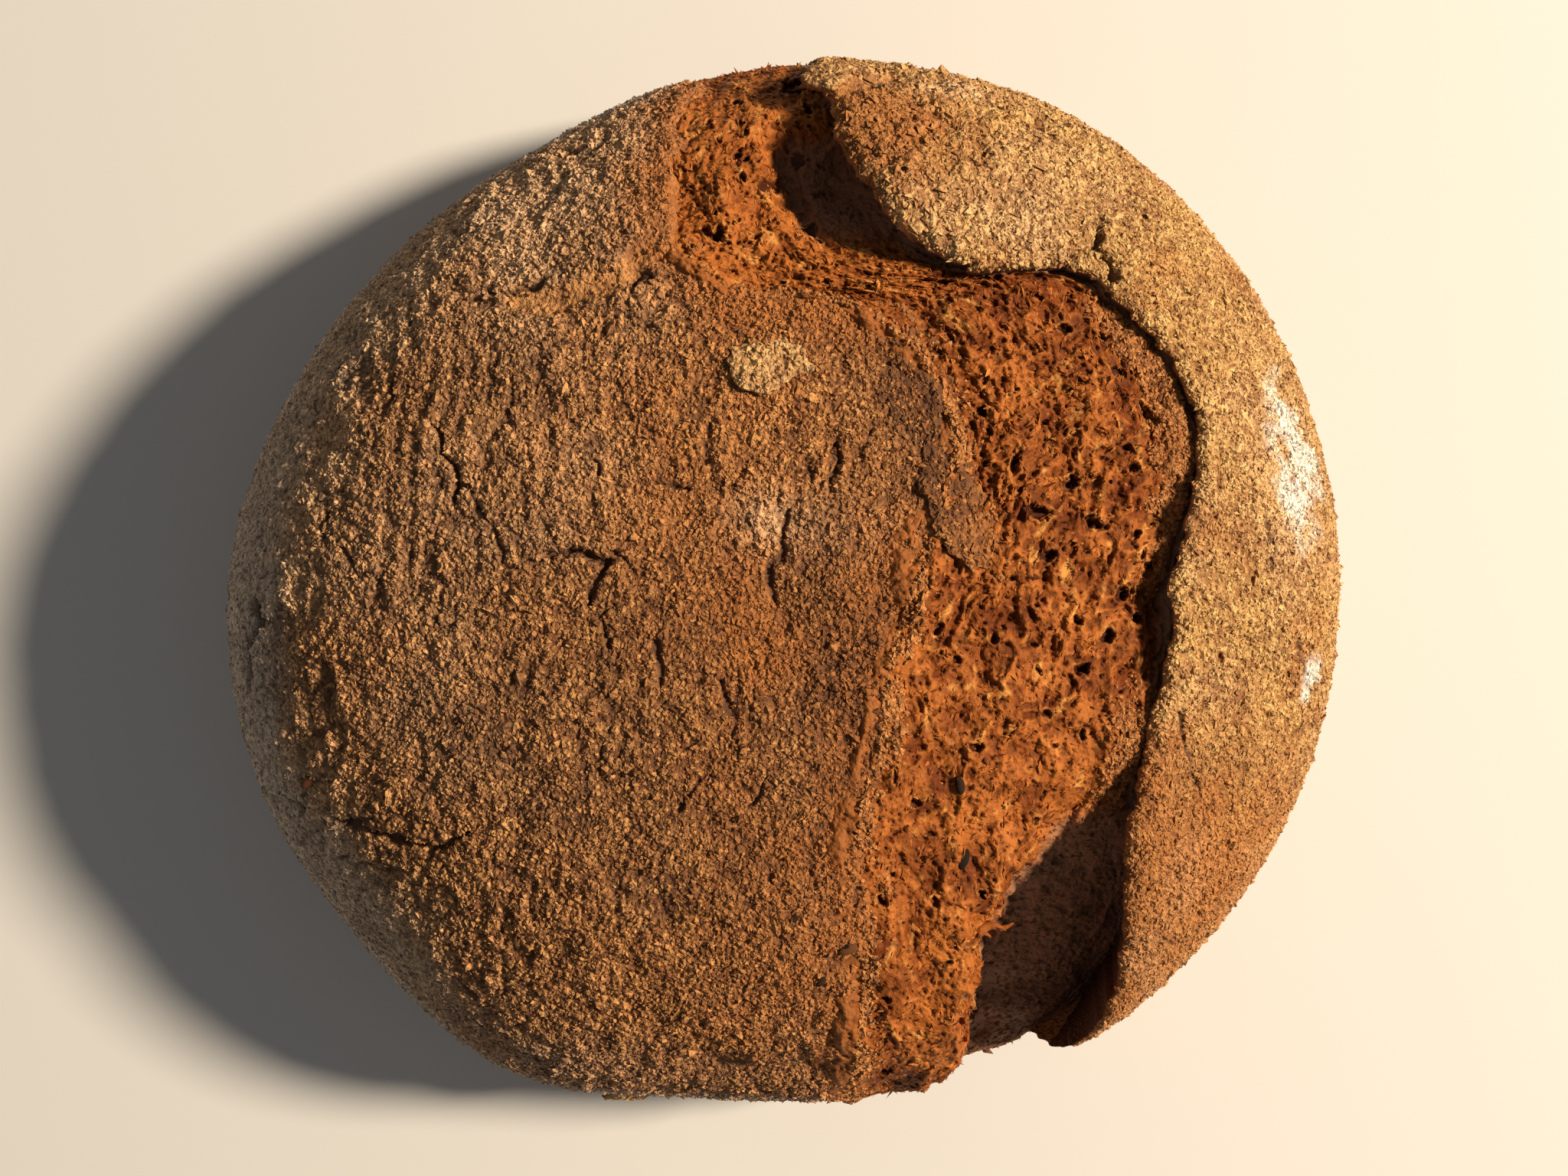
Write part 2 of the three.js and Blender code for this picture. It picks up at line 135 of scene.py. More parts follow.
# Cracks in the crust: width, depth and points on the skin
DOME_CRACKS = (
    (0.9, 1.3, ((-64, 29), (-62, 27), (-60, 21), (-60, 17))),
    (0.5, 0.5, ((-56, 15), (-52, 10), (-50, 4), (-47, 4), (-42, 6))),
    (1.3, 1.6, ((-42, 6), (-40, 7), (-35, 6), (-32, 4), (-34, 1), (-35, -3))),
    (0.6, 0.8, ((-30, 6), (-27, 3))),
    (0.8, 1.0, ((-30, -3), (-33, -5), (-32, -9), (-31, -11))),
    (0.8, 0.9, ((-23, -10), (-22, -17))),
    (0.6, 0.8, ((-34, 23), (-33, 20))),
    (0.6, 0.7, ((-24, 19), (-17, 17))),
    (1.0, 1.3, ((9, 26), (10, 23), (9, 19))),
    (0.8, 1.0, ((1, 14), (-1, 6), (-3, 2), (-2, -3))),
    (0.8, 1.0, ((-72, 40), (-73, 34))),
    (0.6, 0.7, ((-85, 14), (-86, 10))),
    (0.5, 0.6, ((-82, 8), (-79, 2))),
    (1.7, 2.0, ((-104, -2), (-102, -7), (-106, -12), (-106, -20))),
    (0.8, 1.0, ((-100, -40), (-94, -43))),
    (0.9, 1.1, ((-86, -44), (-76, -46), (-73, -47), (-63, -48), (-58, -45))),
    (0.8, 0.9, ((-61, -75), (-58, -78))),
    (0.8, 0.9, ((-11, -17), (-10, -23))),
    (0.7, 0.8, ((-19, -40), (-15, -34))),
    (0.7, 0.8, ((-6, -39), (-3, -34))),
    (0.9, 1.0, ((-44, 83), (-38, 86))),
    (0.9, 1.1, ((-54, 54), (-49, 55), (-44, 56))),
    (1.4, 1.6, ((-28, 55), (-25, 57))),
)
RIM_CRACKS = (
    (1.5, 2.6, ((59, 68), (57, 62), (60, 57))),
    (0.8, 0.7, ((92, 12), (93, 3))),
    (0.8, 0.7, ((100, -10), (102, -17))),
    (0.8, 0.7, ((73, -23), (77, -36))),
)
RIM_GROOVE = ((9, 90), (12, 91.5), (16, 94.5), (19.5, 97.5), (22, 100))
GOLDEN_STRIPE = ((-50, 53), (-40, 53), (-31, 56), (-24, 61))

# The larger pores of the crumb: place on the skin, length, width and turn in degrees
CRUMB_PORES = (
    (46, 54, 3.6, 1.5, -20), (52, 48, 3.0, 1.8, -25), (59, 47, 3.0, 1.4, -30), (36, 32, 3.6, 2.2, 10),
    (30, 46, 3.4, 1.0, -60), (62, 40, 3.6, 1.8, -20), (68, 32, 4.6, 2.4, -55), (63, 26, 2.6, 1.6, 0),
    (64, 22, 2.6, 1.6, 10), (53, 19, 3.0, 1.8, 0), (42, 23, 4.4, 1.6, 70), (46, 14, 5.0, 3.0, -25),
    (57, 12, 3.4, 2.8, -30), (48, 6, 3.6, 2.2, 0), (63, -1, 4.6, 3.0, 50), (66, -6, 3.4, 2.4, 40),
    (68, 4, 2.8, 1.8, -20), (54, -6, 3.0, 1.8, -40), (60, -9, 3.4, 2.4, 50), (45, -5, 3.0, 1.2, -60),
    (55, -15, 3.0, 2.2, 20), (35, -29, 3.0, 2.2, 10), (48, -23, 2.2, 1.8, 0), (21, -44, 3.4, 1.0, 35),
    (20, -34, 3.6, 1.0, 85), (30, -70, 2.4, 1.3, 25), (35, -66, 3.4, 1.1, 15), (20, -95, 3.0, 2.0, 30),
    (1.5, 98.5, 6.5, 4.2, 65), (3, 82, 3.6, 2.8, 30), (-3, 75, 4.0, 3.0, 0), (-9, 94, 2.6, 1.4, -15),
    (5, 67, 4.0, 2.8, 20),
)
SMALL_PORES = 220

# Lifted pieces of crust, as outlines on the skin with their left on the inside
SCRAP_OUTLINE = (
    (24.5, 24), (24.5, 17), (26.5, 11), (29, 7), (33, 4.5), (37, 3), (41, 1.5), (44, 4), (43.5, 9),
    (40, 14), (35, 19), (33, 24), (31, 29), (27, 29),
)
FLAKE_OUTLINE = (
    (-10, 40), (-10, 38), (-7, 36), (-3, 35), (1, 37), (5, 39), (4, 43), (1, 45), (-5, 45), (-9, 43),
)
FLAP_OUTLINE = (
    (3.3, 95), (4.5, 91.5), (7.5, 90), (10, 89.5), (11.5, 92), (12, 95), (13.5, 98), (10.5, 99.5),
    (7, 99.5), (4, 98),
)
EDGE_OUTLINE = ((-41, -112), (-37, -117), (-31, -115), (-29, -110), (-35, -107))

# Name, material, outline, rise at one end and at the other, direction of the other, flour and orange
PLATES = (
    ("crust_scrap", "dome_crust", SCRAP_OUTLINE, 1.6, -2.2, 20, 0.0, 0.4),
    ("crust_flake", "rim_crust", FLAKE_OUTLINE, 1.6, 0.3, 60, 0.3, 0.1),
    ("crust_flap", "rim_crust", FLAP_OUTLINE, 1.5, 0.6, 60, 0.1, 0.1),
    ("edge_flake", "rim_crust", EDGE_OUTLINE, 2.6, 0.2, 60, 0.0, 0.1),
)

# Patches of the crust on the skin: place, half sizes and strength
TOASTED = (
    (-34, -14, 40, 26, 0.36), (-10, -58, 60, 34, 0.26), (23, 38, 8, 11, 1.4), (29, 25, 6, 11, 1.8),
    (13, -16, 9, 16, 1.0), (34, 10, 7, 7, 0.4), (-24, -6, 8, 8, 0.35), (-14, -46, 9, 9, 0.3),
    (-38, -18, 8, 7, 0.3), (-56, -27, 9, 8, 0.5), (-55, 44, 13, 9, 0.3),
)
FLOURED = (
    (-4, 13, 6, 5, 0.6), (5, 11, 15, 6, 0.35), (-48, 9, 10, 6, 0.3), (-45, 66, 28, 20, 0.6),
    (-66, -18, 10, 12, 0.3), (-34, 23, 8, 6, 0.25), (-86, 20, 14, 20, 0.3),
)
# Flour on the rim; its patch at the right edge and the white patches are painted glare on floury crust
RIM_FLOUR_AND_GLARE = ((33, 96, 9, 4, 0.9), (98, 20, 8, 16, 0.9), (40, 66, 14, 8, 0.3))
RIM_FLOUR_GLARE = ((101, 21, 6, 11, 1.5), (96, 35, 5, 8, 0.9), (105, -20, 4, 7, 0.8))
AMBER = (
    (39, 8, 7, 8, 0.6), (12, -18, 9, 15, 0.7), (-6, -8, 7, 13, 0.8), (-10, 14, 14, 12, 0.4),
    (15, -37, 7, 14, 0.7), (14, 2, 9, 14, 0.35), (2, -60, 14, 20, 0.3), (-20, 30, 16, 10, 0.25),
)
CHIPPED = ((-11, -92.5, 10, 2.2, 1.0), (5, -92.5, 4, 2.4, 1.0))

# Whole seeds: place from above, length, turn in degrees and how dark they are
SEEDS = (
    (12, -67, 4.4, 20, 0.25),
    (33, -51, 4.2, 75, 1.0),
    (32, -37, 3.4, 100, 0.9),
    (7, -73, 3.0, 60, 0.9),
    (2, -61, 2.6, 30, 0.9),
    (-90, -38, 4.0, 40, 0.5),
)


# Curves and noise

def smoothstep(low, high, value):
    share = np.clip((value - low) / (high - low), 0.0, 1.0)
    return share * share * (3.0 - 2.0 * share)


def bell(value, width):
    return np.exp(-((value / width) ** 2))


def lerp(first, second, share):
    return first + (second - first) * share


def blend(before, first, second, after, share):
    slope_first = (second - before) / 2
    slope_second = (after - first) / 2
    cubic = 2 * (first - second) + slope_first + slope_second
    square = 3 * (second - first) - 2 * slope_first - slope_second
    return first + share * (slope_first + share * (square + share * cubic))


def lattice(column, row):
    mixed = np.sin(column * 127.1 + row * 311.7) * 43758.5453
    return 2 * (mixed - np.floor(mixed)) - 1


def noise(x, y):
    """Smooth noise between -1 and 1, the same every time."""
    column, row = np.floor(x), np.floor(y)
    across, along = smoothstep(0, 1, x - column), smoothstep(0, 1, y - row)
    lower = lerp(lattice(column, row), lattice(column + 1, row), across)
    upper = lerp(lattice(column, row + 1), lattice(column + 1, row + 1), across)
    return lerp(lower, upper, along)


def ridged(x, y):
    """Noise with sharp crests."""
    return 1 - 2.6 * np.abs(noise(x, y))


def rough(x, y, size, octaves, seed=0.0):
    """Noise of that size with finer noise on it, turned a little at each octave."""
    total = np.zeros_like(x)
    height, reach = 1.0, 0.0
    for octave in range(octaves):
        turn = 0.7 * octave + seed
        turned_x = (x * math.cos(turn) - y * math.sin(turn)) / size + 17.3 * seed
        turned_y = (x * math.sin(turn) + y * math.cos(turn)) / size + 5.1 * octave
        total += height * noise(turned_x, turned_y)
        reach += height
        height *= 0.6
        size *= 0.5
    return total / reach


def line_distance(x, y, points):
    """Distance to a line of points, positive on its left as it runs."""
    points = np.asarray(points, dtype=float)
    nearest = np.full(x.shape, np.inf)
    side = np.ones_like(x)
    for start, end in zip(points[:-1], points[1:]):
        run = end - start
        off_x, off_y = x - start[0], y - start[1]
        share = np.clip((off_x * run[0] + off_y * run[1]) / (run @ run), 0.0, 1.0)
        away = np.hypot(off_x - share * run[0], off_y - share * run[1])
        nearer = away < nearest
        nearest = np.where(nearer, away, nearest)
        side = np.where(nearer, np.sign(run[0] * off_y - run[1] * off_x), side)
    return nearest * np.where(side == 0, 1.0, side)


def patch(x, y, middle, size):
    """1 in the middle of a soft round patch and 0 well outside it."""
    return np.exp(-(((x - middle[0]) / size[0]) ** 2 + ((y - middle[1]) / size[1]) ** 2))


def patches(x, y, places):
    return sum(strength * patch(x, y, (mid_x, mid_y), (half_x, half_y))
               for mid_x, mid_y, half_x, half_y, strength in places)


def cells(x, y, size, seed=0.0):
    """Distance to the nearest of scattered points, as a share of their spacing, and its own number."""
    column, row = np.floor(x / size), np.floor(y / size)
    nearest = np.full(x.shape, np.inf)
    own = np.zeros_like(x)
    for step_x in (-1, 0, 1):
        for step_y in (-1, 0, 1):
            spot_x, spot_y = column + step_x + seed, row + step_y
            off_x = column + step_x + 0.5 + 0.42 * lattice(spot_x, spot_y) - x / size
            off_y = row + step_y + 0.5 + 0.42 * lattice(spot_y + 57, spot_x) - y / size
            away = np.hypot(off_x, off_y)
            own = np.where(away < nearest, lattice(spot_x + 19, spot_y + 83), own)
            nearest = np.minimum(nearest, away)
    return nearest, own


# The loaf's skin

def outline_radius(angle):
    place = (np.degrees(angle) % 360) / OUTLINE_STEP
    first = np.floor(place).astype(int)
    near = [OUTLINE_RADII[(first + step) % len(OUTLINE_RADII)] for step in (-1, 0, 1, 2)]
    return blend(*near, place - first)


def reach_of(x, y):
    return np.hypot(x, y) / outline_radius(np.arctan2(y, x))


def skin_point(x, y):
    angle = np.arctan2(y, x)
    outline = outline_radius(angle)
    reach = np.minimum(np.hypot(x, y) / outline, FOOT_REACH)
    side = 1 - SHOULDER_SHARE
    turned = SHOULDER_SHARE + side * np.sin(np.clip((reach - SHOULDER_SHARE) / side, 0, math.pi / 2))
    spread = np.where(reach > SHOULDER_SHARE, turned, reach)
    crown = np.maximum(0, 1 - spread ** CROWN_ROUNDNESS) ** CROWN_POWER
    facing = np.maximum(0, np.cos(angle - RIM_ANGLE)) ** RIM_FOCUS
    drop = RIM_DROP * facing * 4 * spread ** 2 * (1 - spread ** 2)
    height = EQUATOR_HEIGHT + (LOAF_HEIGHT - EQUATOR_HEIGHT) * crown - drop
    under = (reach - EQUATOR_REACH) / (FOOT_REACH - EQUATOR_REACH) * math.pi / 2
    low = reach > EQUATOR_REACH
    spread = np.where(low, FOOT_SHARE + (1 - FOOT_SHARE) * np.cos(under), spread)
    height = np.where(low, EQUATOR_HEIGHT * (1 - np.sin(under)), height)
    radius = spread * outline
    return np.stack([radius * np.cos(angle), radius * np.sin(angle), height], axis=-1)


def skin_normal(x, y):
    step = 0.5
    across = skin_point(x + step, y) - skin_point(x - step, y)
    along = skin_point(x, y + step) - skin_point(x, y - step)
    normal = np.cross(across, along)
    length = np.linalg.norm(normal, axis=-1, keepdims=True)
    return normal / np.maximum(length, 1e-9)


def raised_point(x, y, rise):
    return skin_point(x, y) + skin_normal(x, y) * rise[..., None]


def torn_point(x, y, rise):
    """As raised_point above the skin, and straight down below it."""
    direction = np.where(rise[..., None] < 0, np.array([0.0, 0.0, 1.0]), skin_normal(x, y))
    return skin_point(x, y) + direction * rise[..., None]


def outline_middle():
    angle = np.radians(np.arange(360.0))
    radius = outline_radius(angle)
    x, y = radius * np.cos(angle), radius * np.sin(angle)
    return np.array([(x.max() + x.min()) / 2, (y.max() + y.min()) / 2, 0.0])


MIDDLE = outline_middle()


def tear_at(share):
    """The tear's values at shares of its length, one row each."""
    place = np.clip(share, 0, 1) * (len(TEAR_STATIONS) - 1)
    first = np.minimum(np.floor(place).astype(int), len(TEAR_STATIONS) - 2)
    rows = [TEAR_STATIONS[np.clip(first + step, 0, len(TEAR_STATIONS) - 1)] for step in (-1, 0, 1, 2)]
    values = blend(*rows, (place - first)[:, None])
    values[:, UNDERCUT] = np.maximum(values[:, UNDERCUT], 0)
    values[:, CLIFF] = np.clip(values[:, CLIFF], 0, 1)
    return values


LINE_SHARES = np.linspace(0, 1, 161)
INNER_LINE = tear_at(LINE_SHARES)[:, INNER]
LIP_LINE = tear_at(LINE_SHARES)[:, LIP]
MIDDLE_LINE = (INNER_LINE + LIP_LINE) / 2


def line_lengths(points):
    steps = np.linalg.norm(np.diff(points, axis=0), axis=1)
    return np.concatenate([[0], np.cumsum(steps)])


def even_share(points, along):
    """Shares of the tear's length that space points evenly along a line."""
    lengths = line_lengths(points)
    return np.interp(along * lengths[-1], lengths, LINE_SHARES)


def foot_fade(x, y):
    """1 over most of the loaf and 0 at the foot, where the crust meets the table."""
    return 1 - smoothstep(FOOT_FADE_FROM, FOOT_REACH, reach_of(x, y))


def crust_rise(x, y):
    """Broad relief of the crust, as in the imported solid."""
    fade = 1 - smoothstep(SHOULDER_SHARE, EQUATOR_REACH, reach_of(x, y))
    from_lip = line_distance(x, y, LIP_LINE)
    rise = LIP_RIDGE * bell(from_lip, LIP_RIDGE_WIDTH)
    behind = smoothstep(-LIP_RIDGE_WIDTH, -LIP_RIDGE_WIDTH / 2, from_lip)
    rise += TONGUE_RISE * behind * patch(x, y, TONGUE_PLACE, (TONGUE_RADIUS, TONGUE_RADIUS))
    for height, size in CRUST_LUMPS:
        rise += height * noise(x / size, y / size)
    return fade * rise


def crumb_rise(tear, across, x, y):
    start = tear[:, CLIFF_PLACE] - CLIFF_SPAN / 2
    drop = smoothstep(start, start + CLIFF_SPAN, across)
    slope = np.clip(across, 0, 1) ** CRUMB_SLOPE
    fall = tear[:, DEPTH] * lerp(slope, drop, tear[:, CLIFF])
    bump = CRUMB_BUMP * noise(x / CRUMB_BUMP_SIZE, y / CRUMB_BUMP_SIZE)
    return bump - CRUST_STEP * smoothstep(0, 0.2, across) - fall


def crack_depth(x, y, cracks):
    """Depth below the crust, and how far inside a crack each place is."""
    depth = np.zeros_like(x)
    inside = np.zeros_like(x)
    wander_x = x + 0.8 * noise(x / 2.2, y / 2.2 + 9)
    wander_y = y + 0.8 * noise(x / 2.2 + 31, y / 2.2)
    swell = 1.25 + 0.6 * noise(x / 3.1 + 3, y / 3.1)
    for width, deep, points in cracks:
        away = np.abs(line_distance(wander_x, wander_y, points))
        core = 1 - smoothstep(0.2 * width * swell, 0.75 * width * swell, away)
        depth = np.maximum(depth, deep * core)
        inside = np.maximum(inside, core)
    return depth, inside


def crack_distance(x, y, cracks):
    return np.min([np.abs(line_distance(x, y, points)) for _, _, points in cracks], axis=0)


# Mesh making

def flat_grid(columns, rows, low, high):
    bm = bmesh.new()
    middle = ((low[0] + high[0]) / 2, (low[1] + high[1]) / 2, 0)
    size = Matrix.Diagonal(((high[0] - low[0]), (high[1] - low[1]), 1, 1))
    place = Matrix.Translation(middle) @ size
    bmesh.ops.create_grid(bm, x_segments=columns, y_segments=rows, size=0.5, matrix=place)
    return bm


def spots_of(bm):
    bm.verts.index_update()
    spots = np.array([vert.co[:2] for vert in bm.verts])
    return spots[:, 0], spots[:, 1]


def trim(bm, kept):
    """Deletes the faces that have no kept vertex."""
    spare = [face for face in bm.faces if not any(kept[vert.index] for vert in face.verts)]
    bmesh.ops.delete(bm, geom=spare, context="FACES")


def close_below(bm):
    """Extrudes the open edge one unit down and fills it, so that the flat sheet is a closed slab."""
    edges = [edge for edge in bm.edges if edge.is_boundary]
    grown = bmesh.ops.extrude_edge_only(bm, edges=edges)["geom"]
    verts = [item for item in grown if isinstance(item, bmesh.types.BMVert)]
    bmesh.ops.translate(bm, verts=verts, vec=(0, 0, -1))
    bmesh.ops.holes_fill(bm, edges=[edge for edge in bm.edges if edge.is_boundary], sides=0)
    bmesh.ops.recalc_face_normals(bm, faces=bm.faces)


def coordinates(mesh):
    values = np.empty(len(mesh.vertices) * 3)
    mesh.vertices.foreach_get("co", values)
    return values.reshape(-1, 3)


def tuck_in(points):
    """Draws in points that would stand out past the rolled foot or below the table."""
    points[:, 2] = np.maximum(points[:, 2], 0)
    down = 1 - np.minimum(points[:, 2] / EQUATOR_HEIGHT, 1)
    spread = FOOT_SHARE + (1 - FOOT_SHARE) * np.sqrt(1 - down ** 2)
    limit = spread * outline_radius(np.arctan2(points[:, 1], points[:, 0])) + FOOT_RELIEF
    points[:, :2] *= np.minimum(1, limit / np.maximum(np.hypot(points[:, 0], points[:, 1]), 1))[:, None]


def set_coordinates(mesh, points, turned=False):
    """Puts points given in millimetres from the crown in the part's frame in metres."""
    tuck_in(points)
    mesh.vertices.foreach_set("co", ((points - MIDDLE) * MM).ravel())
    if turned:
        mesh.flip_normals()
    mesh.update()


def mesh_of(bm, name):
    mesh = bpy.data.meshes.new(name)
    bm.to_mesh(mesh)
    bm.free()
    return mesh


def give_values(mesh, values):
    for name, numbers in values.items():
        attribute = mesh.attributes.new(name, "FLOAT", "POINT")
        attribute.data.foreach_set("value", np.asarray(numbers, dtype=np.float32))


def values_of(mesh, name):
    numbers = np.zeros(len(mesh.vertices), dtype=np.float32)
    if name in mesh.attributes:
        mesh.attributes[name].data.foreach_get("value", numbers)
    return numbers


def add_piece(mesh, material, smooth=True, replaced=()):
    piece = bpy.data.objects.new(mesh.name, mesh)
    bpy.context.scene.collection.objects.link(piece)
    mesh.materials.append(material)
    mesh.polygons.foreach_set("use_smooth", np.full(len(mesh.polygons), smooth))
    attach(piece, BODY)
    if replaced:
        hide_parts(*replaced)
    return piece


# Crust of the dome

DOME_SPACING = 0.72
DOME_MARGIN = 5.0
DOME_LOW = (-158.0, -158.0)
DOME_HIGH = (40.0, 158.0)
CRACK_REFINED = 1.5
LEFT_TURN, LEFT_SPAN = 190.0, 42.0
STREAK_SPACING = 4.1
STREAK_PLACE, STREAK_SIZE = (-62, 22), (30, 24)
STREAK_SHARE, HOLE_SHARE = 0.22, 0.8
FISSURE_DEPTH = 0.6
CHIP_DEPTH = 1.8
EDGE_DROP, EDGE_WIDTH = 2.6, 2.4
STRIPE_DEPTH = 1.0
STRIPE_INNER, STRIPE_OUTER = 1.2, 3.6
BRIGHT_PLACE, BRIGHT_SIZE = (0, 30), (32, 24)
SLAB_SPREAD, SLAB_HEIGHT = 0.86, 2.0


def dome_sheet():
    """Flat grid of the dome's skin, inside the foot's line and left of the tear, finer at the cracks."""
    columns = int((DOME_HIGH[0] - DOME_LOW[0]) / DOME_SPACING)
    rows = int((DOME_HIGH[1] - DOME_LOW[1]) / DOME_SPACING)
    bm = flat_grid(columns, rows, DOME_LOW, DOME_HIGH)
    x, y = spots_of(bm)
    trim(bm, (reach_of(x, y) < FOOT_REACH) & (line_distance(x, y, INNER_LINE) < DOME_MARGIN))
    near = crack_distance(*spots_of(bm), DOME_CRACKS) < CRACK_REFINED
    edges = [edge for edge in bm.edges if all(near[vert.index] for vert in edge.verts)]
    bmesh.ops.subdivide_edges(bm, edges=edges, cuts=1, use_grid_fill=True)
    close_below(bm)
    return bm


def dome_zones(x, y):
    """Zones of the dome: its side, the floury left of it, its edge at the tear and what lies bare."""
    reach = reach_of(x, y)
    angle = np.degrees(np.arctan2(y, x)) % 360
    left = bell(angle - LEFT_TURN, LEFT_SPAN)
    uneven = rough(x, y, 18.0, 3, 23.0)
    start, end = SIDE_FROM - 0.05 * left, SIDE_TO - 0.10 * left
    side = smoothstep(start, end, reach + 0.05 * uneven * (1 - left))
    ragged = line_distance(x, y, INNER_LINE) + 2.0 * noise(x / 6, y / 6 + 3) + 1.2 * noise(x / 2.1, y / 2.1)
    from_stripe = np.abs(line_distance(x, y, GOLDEN_STRIPE)) + 1.2 * noise(x / 4, y / 4 + 8)
    return SimpleNamespace(
        reach=reach,
        uneven=uneven,
        side=side,
        pale_side=np.maximum(side, left * smoothstep(0.80, 0.91, reach + 0.03 * uneven)),
        low=smoothstep(0.98, 1.12, reach),
        turned_away=smoothstep(85, 112, angle) * (1 - smoothstep(215, 260, angle)),
        ragged=ragged,
        border=smoothstep(-10.0 - 4.0 * smoothstep(45, 60, y), 1.5, ragged),
        stripe=1 - smoothstep(STRIPE_INNER, STRIPE_OUTER, from_stripe),
        chipped=patches(x, y, CHIPPED),
    )


def dome_relief(x, y, zones, sizes):
    """Rise of the dome, and the fine grit, streaks, cracks and hollows in it, with a painted-shade mask for
    its low places, holes and fissures.
    """
    grit = rough(x, y, 3.0, 2, 1.0)
    pits = rough(x, y, 1.8, 2, 2.0)
    hole, _ = cells(x, y, 6.5, 3.0)
    hole = zones.side * (1 - smoothstep(0.05, 0.13, hole))
    fan = x + 0.0045 * (x + 45) * (y - 26) + 1.6 * noise(x / 20, y / 9)
    streak = np.sin(fan * 2 * math.pi / STREAK_SPACING)
    streak *= patch(x, y, STREAK_PLACE, STREAK_SIZE) * (0.75 + 0.4 * noise(x / 9, y / 7))
    depth, crack = crack_depth(x, y, DOME_CRACKS)
    wander = 0.8 * noise(x / 2.6, y / 2.6 + 11)
    fissure = smoothstep(0.55, 0.9, ridged((x + wander) / 3.4, (y + wander) / 8.0 + 70))
    fissure *= (1 - zones.side) * smoothstep(-0.05, 0.35, rough(x, y, 15.0, 2, 20.0))
    fine = (0.55 * grit + 0.45 * pits) * (1 - 0.55 * zones.side) + STREAK_SHARE * streak - HOLE_SHARE * hole
    rise = crust_rise(x, y) + sizes.crust_relief / MM * fine - depth
    rise -= FISSURE_DEPTH * fissure + CHIP_DEPTH * zones.chipped + STRIPE_DEPTH * zones.stripe
    rise -= EDGE_DROP * smoothstep(0.0, EDGE_WIDTH, zones.ragged)
    # Painted shade: a mask over the grit's low places, the side's holes and the fissures
    dark_and_shade = np.clip(np.maximum.reduce([-fine * 1.4, hole, fissure]), 0, 1) * (1 - 0.7 * zones.stripe)
    return SimpleNamespace(rise=rise, fine=fine, groove=np.clip(-streak, 0, 1), crack=crack, dark_and_shade=dark_and_shade)


def dome_values(x, y, zones, relief):
    """The values that colour the dome, and where grains lie on it, among them painted shade in its recesses
    and cracks and a paler tone on its crests that is partly painted highlight.
    """
    stripe, border, reach = zones.stripe, zones.border, zones.reach
    toast = patches(x, y, TOASTED) * (0.85 + 0.5 * noise(x / 8, y / 8 + 6)) + 0.5 * zones.chipped
    toast += 0.3 * relief.groove + 0.35 * smoothstep(0.05, 0.6, rough(x, y, 15.0, 3, 21.0))
    orange = border * (1 - 0.7 * np.clip(toast, 0, 1)) + 0.2 * stripe + patches(x, y, AMBER)
    orange += 0.45 * smoothstep(-60, 20, x) * (0.8 + 0.9 * noise(x / 12, y / 12 + 2))
    flour = 0.8 * zones.turned_away * smoothstep(0.72, 0.92, reach) + patches(x, y, FLOURED)
    flour += 0.4 * smoothstep(-15, -95, x) * lerp(0.4, 1.0, smoothstep(-60, 10, y))
    flour *= 0.85 + 0.5 * noise(x / 12, y / 12)
    flour += smoothstep(0.95, 1.08, reach) * lerp(1.0, 0.45 + 0.7 * zones.uneven, zones.low)
    flour *= 1 - 0.85 * np.clip(stripe + border, 0, 1)
    white_and_glare = np.clip(zones.pale_side * lerp(0.45, 0.12 + 0.3 * zones.uneven, zones.low), 0, 1)
    bright = 0.35 * smoothstep(0.05, 0.6, rough(x, y, 12.0, 3, 22.0))
    bright += 0.25 * patch(x, y, BRIGHT_PLACE, BRIGHT_SIZE)
    bare = np.clip(stripe + zones.chipped, 0, 1)
    grit = (1 - smoothstep(-1.5, 2.0, zones.ragged)) * (1 - 0.8 * zones.side) * low_fade(reach)
    grit *= (1 - relief.crack) * (1 - 0.6 * relief.groove) * (1 - 0.85 * bare) * (1 - 0.75 * relief.dark_and_shade)
    return {
        "orange": np.clip(orange, 0, 1),
        "toast": np.clip(toast * (1 - 0.8 * stripe), 0, 1),
        "flour": np.clip(flour, 0, 1),
        "white_and_glare": white_and_glare * (1 - border),
        "dark_and_shade": relief.dark_and_shade,
        "crack": relief.crack,
        # Paler tone on the relief's crests and bright patches, with the golden stripe: partly painted
        # highlight
        "tone_and_highlight": np.clip((relief.fine * 1.2 + bright) * (1 - 0.6 * border) + 0.9 * stripe, 0, 1),
        "grit": grit,
    }


def low_fade(reach):
    """1 where grains may lie and 0 low on the side, where they would touch the table."""
    return 1 - smoothstep(GRAINS_TO, BARE_FROM, reach)


def make_dome(sizes, material):
    mesh = mesh_of(dome_sheet(), "crust_dome")
    flat = coordinates(mesh)
    x, y = flat[:, 0], flat[:, 1]
    below = flat[:, 2] < -0.5
    zones = dome_zones(x, y)
    relief = dome_relief(x, y, zones, sizes)
    values = dome_values(x, y, zones, relief)
    points = raised_point(x, y, relief.rise * foot_fade(x, y))
    sink_below(points, below)
    values["grit"] = np.where(below, 0, values["grit"])
    set_coordinates(mesh, points)
    give_values(mesh, values)
    return add_piece(mesh, material, replaced=(NODE,))


def sink_below(points, below):
    """Draws a slab's lower points in under the loaf, just above the base."""
    points[below, 0:2] *= SLAB_SPREAD
    points[below, 2] = SLAB_HEIGHT


# Crust of the rim

RIM_ALONG = 430
RIM_ACROSS = 220
RIM_WALL_SHARE = 0.10
RIM_LIP_SHARE = 0.19
RIM_SPREAD = 1.1
UNDERCUT_GROWTH = 1.9
TIP_PLACE = (36.0, 58.0)
TIP_LENGTH, TIP_WIDTH = 3.0, 2.0
WALL_BELOW = 3.0
GROOVE_DEPTH, GROOVE_WIDTH = 2.0, 2.2


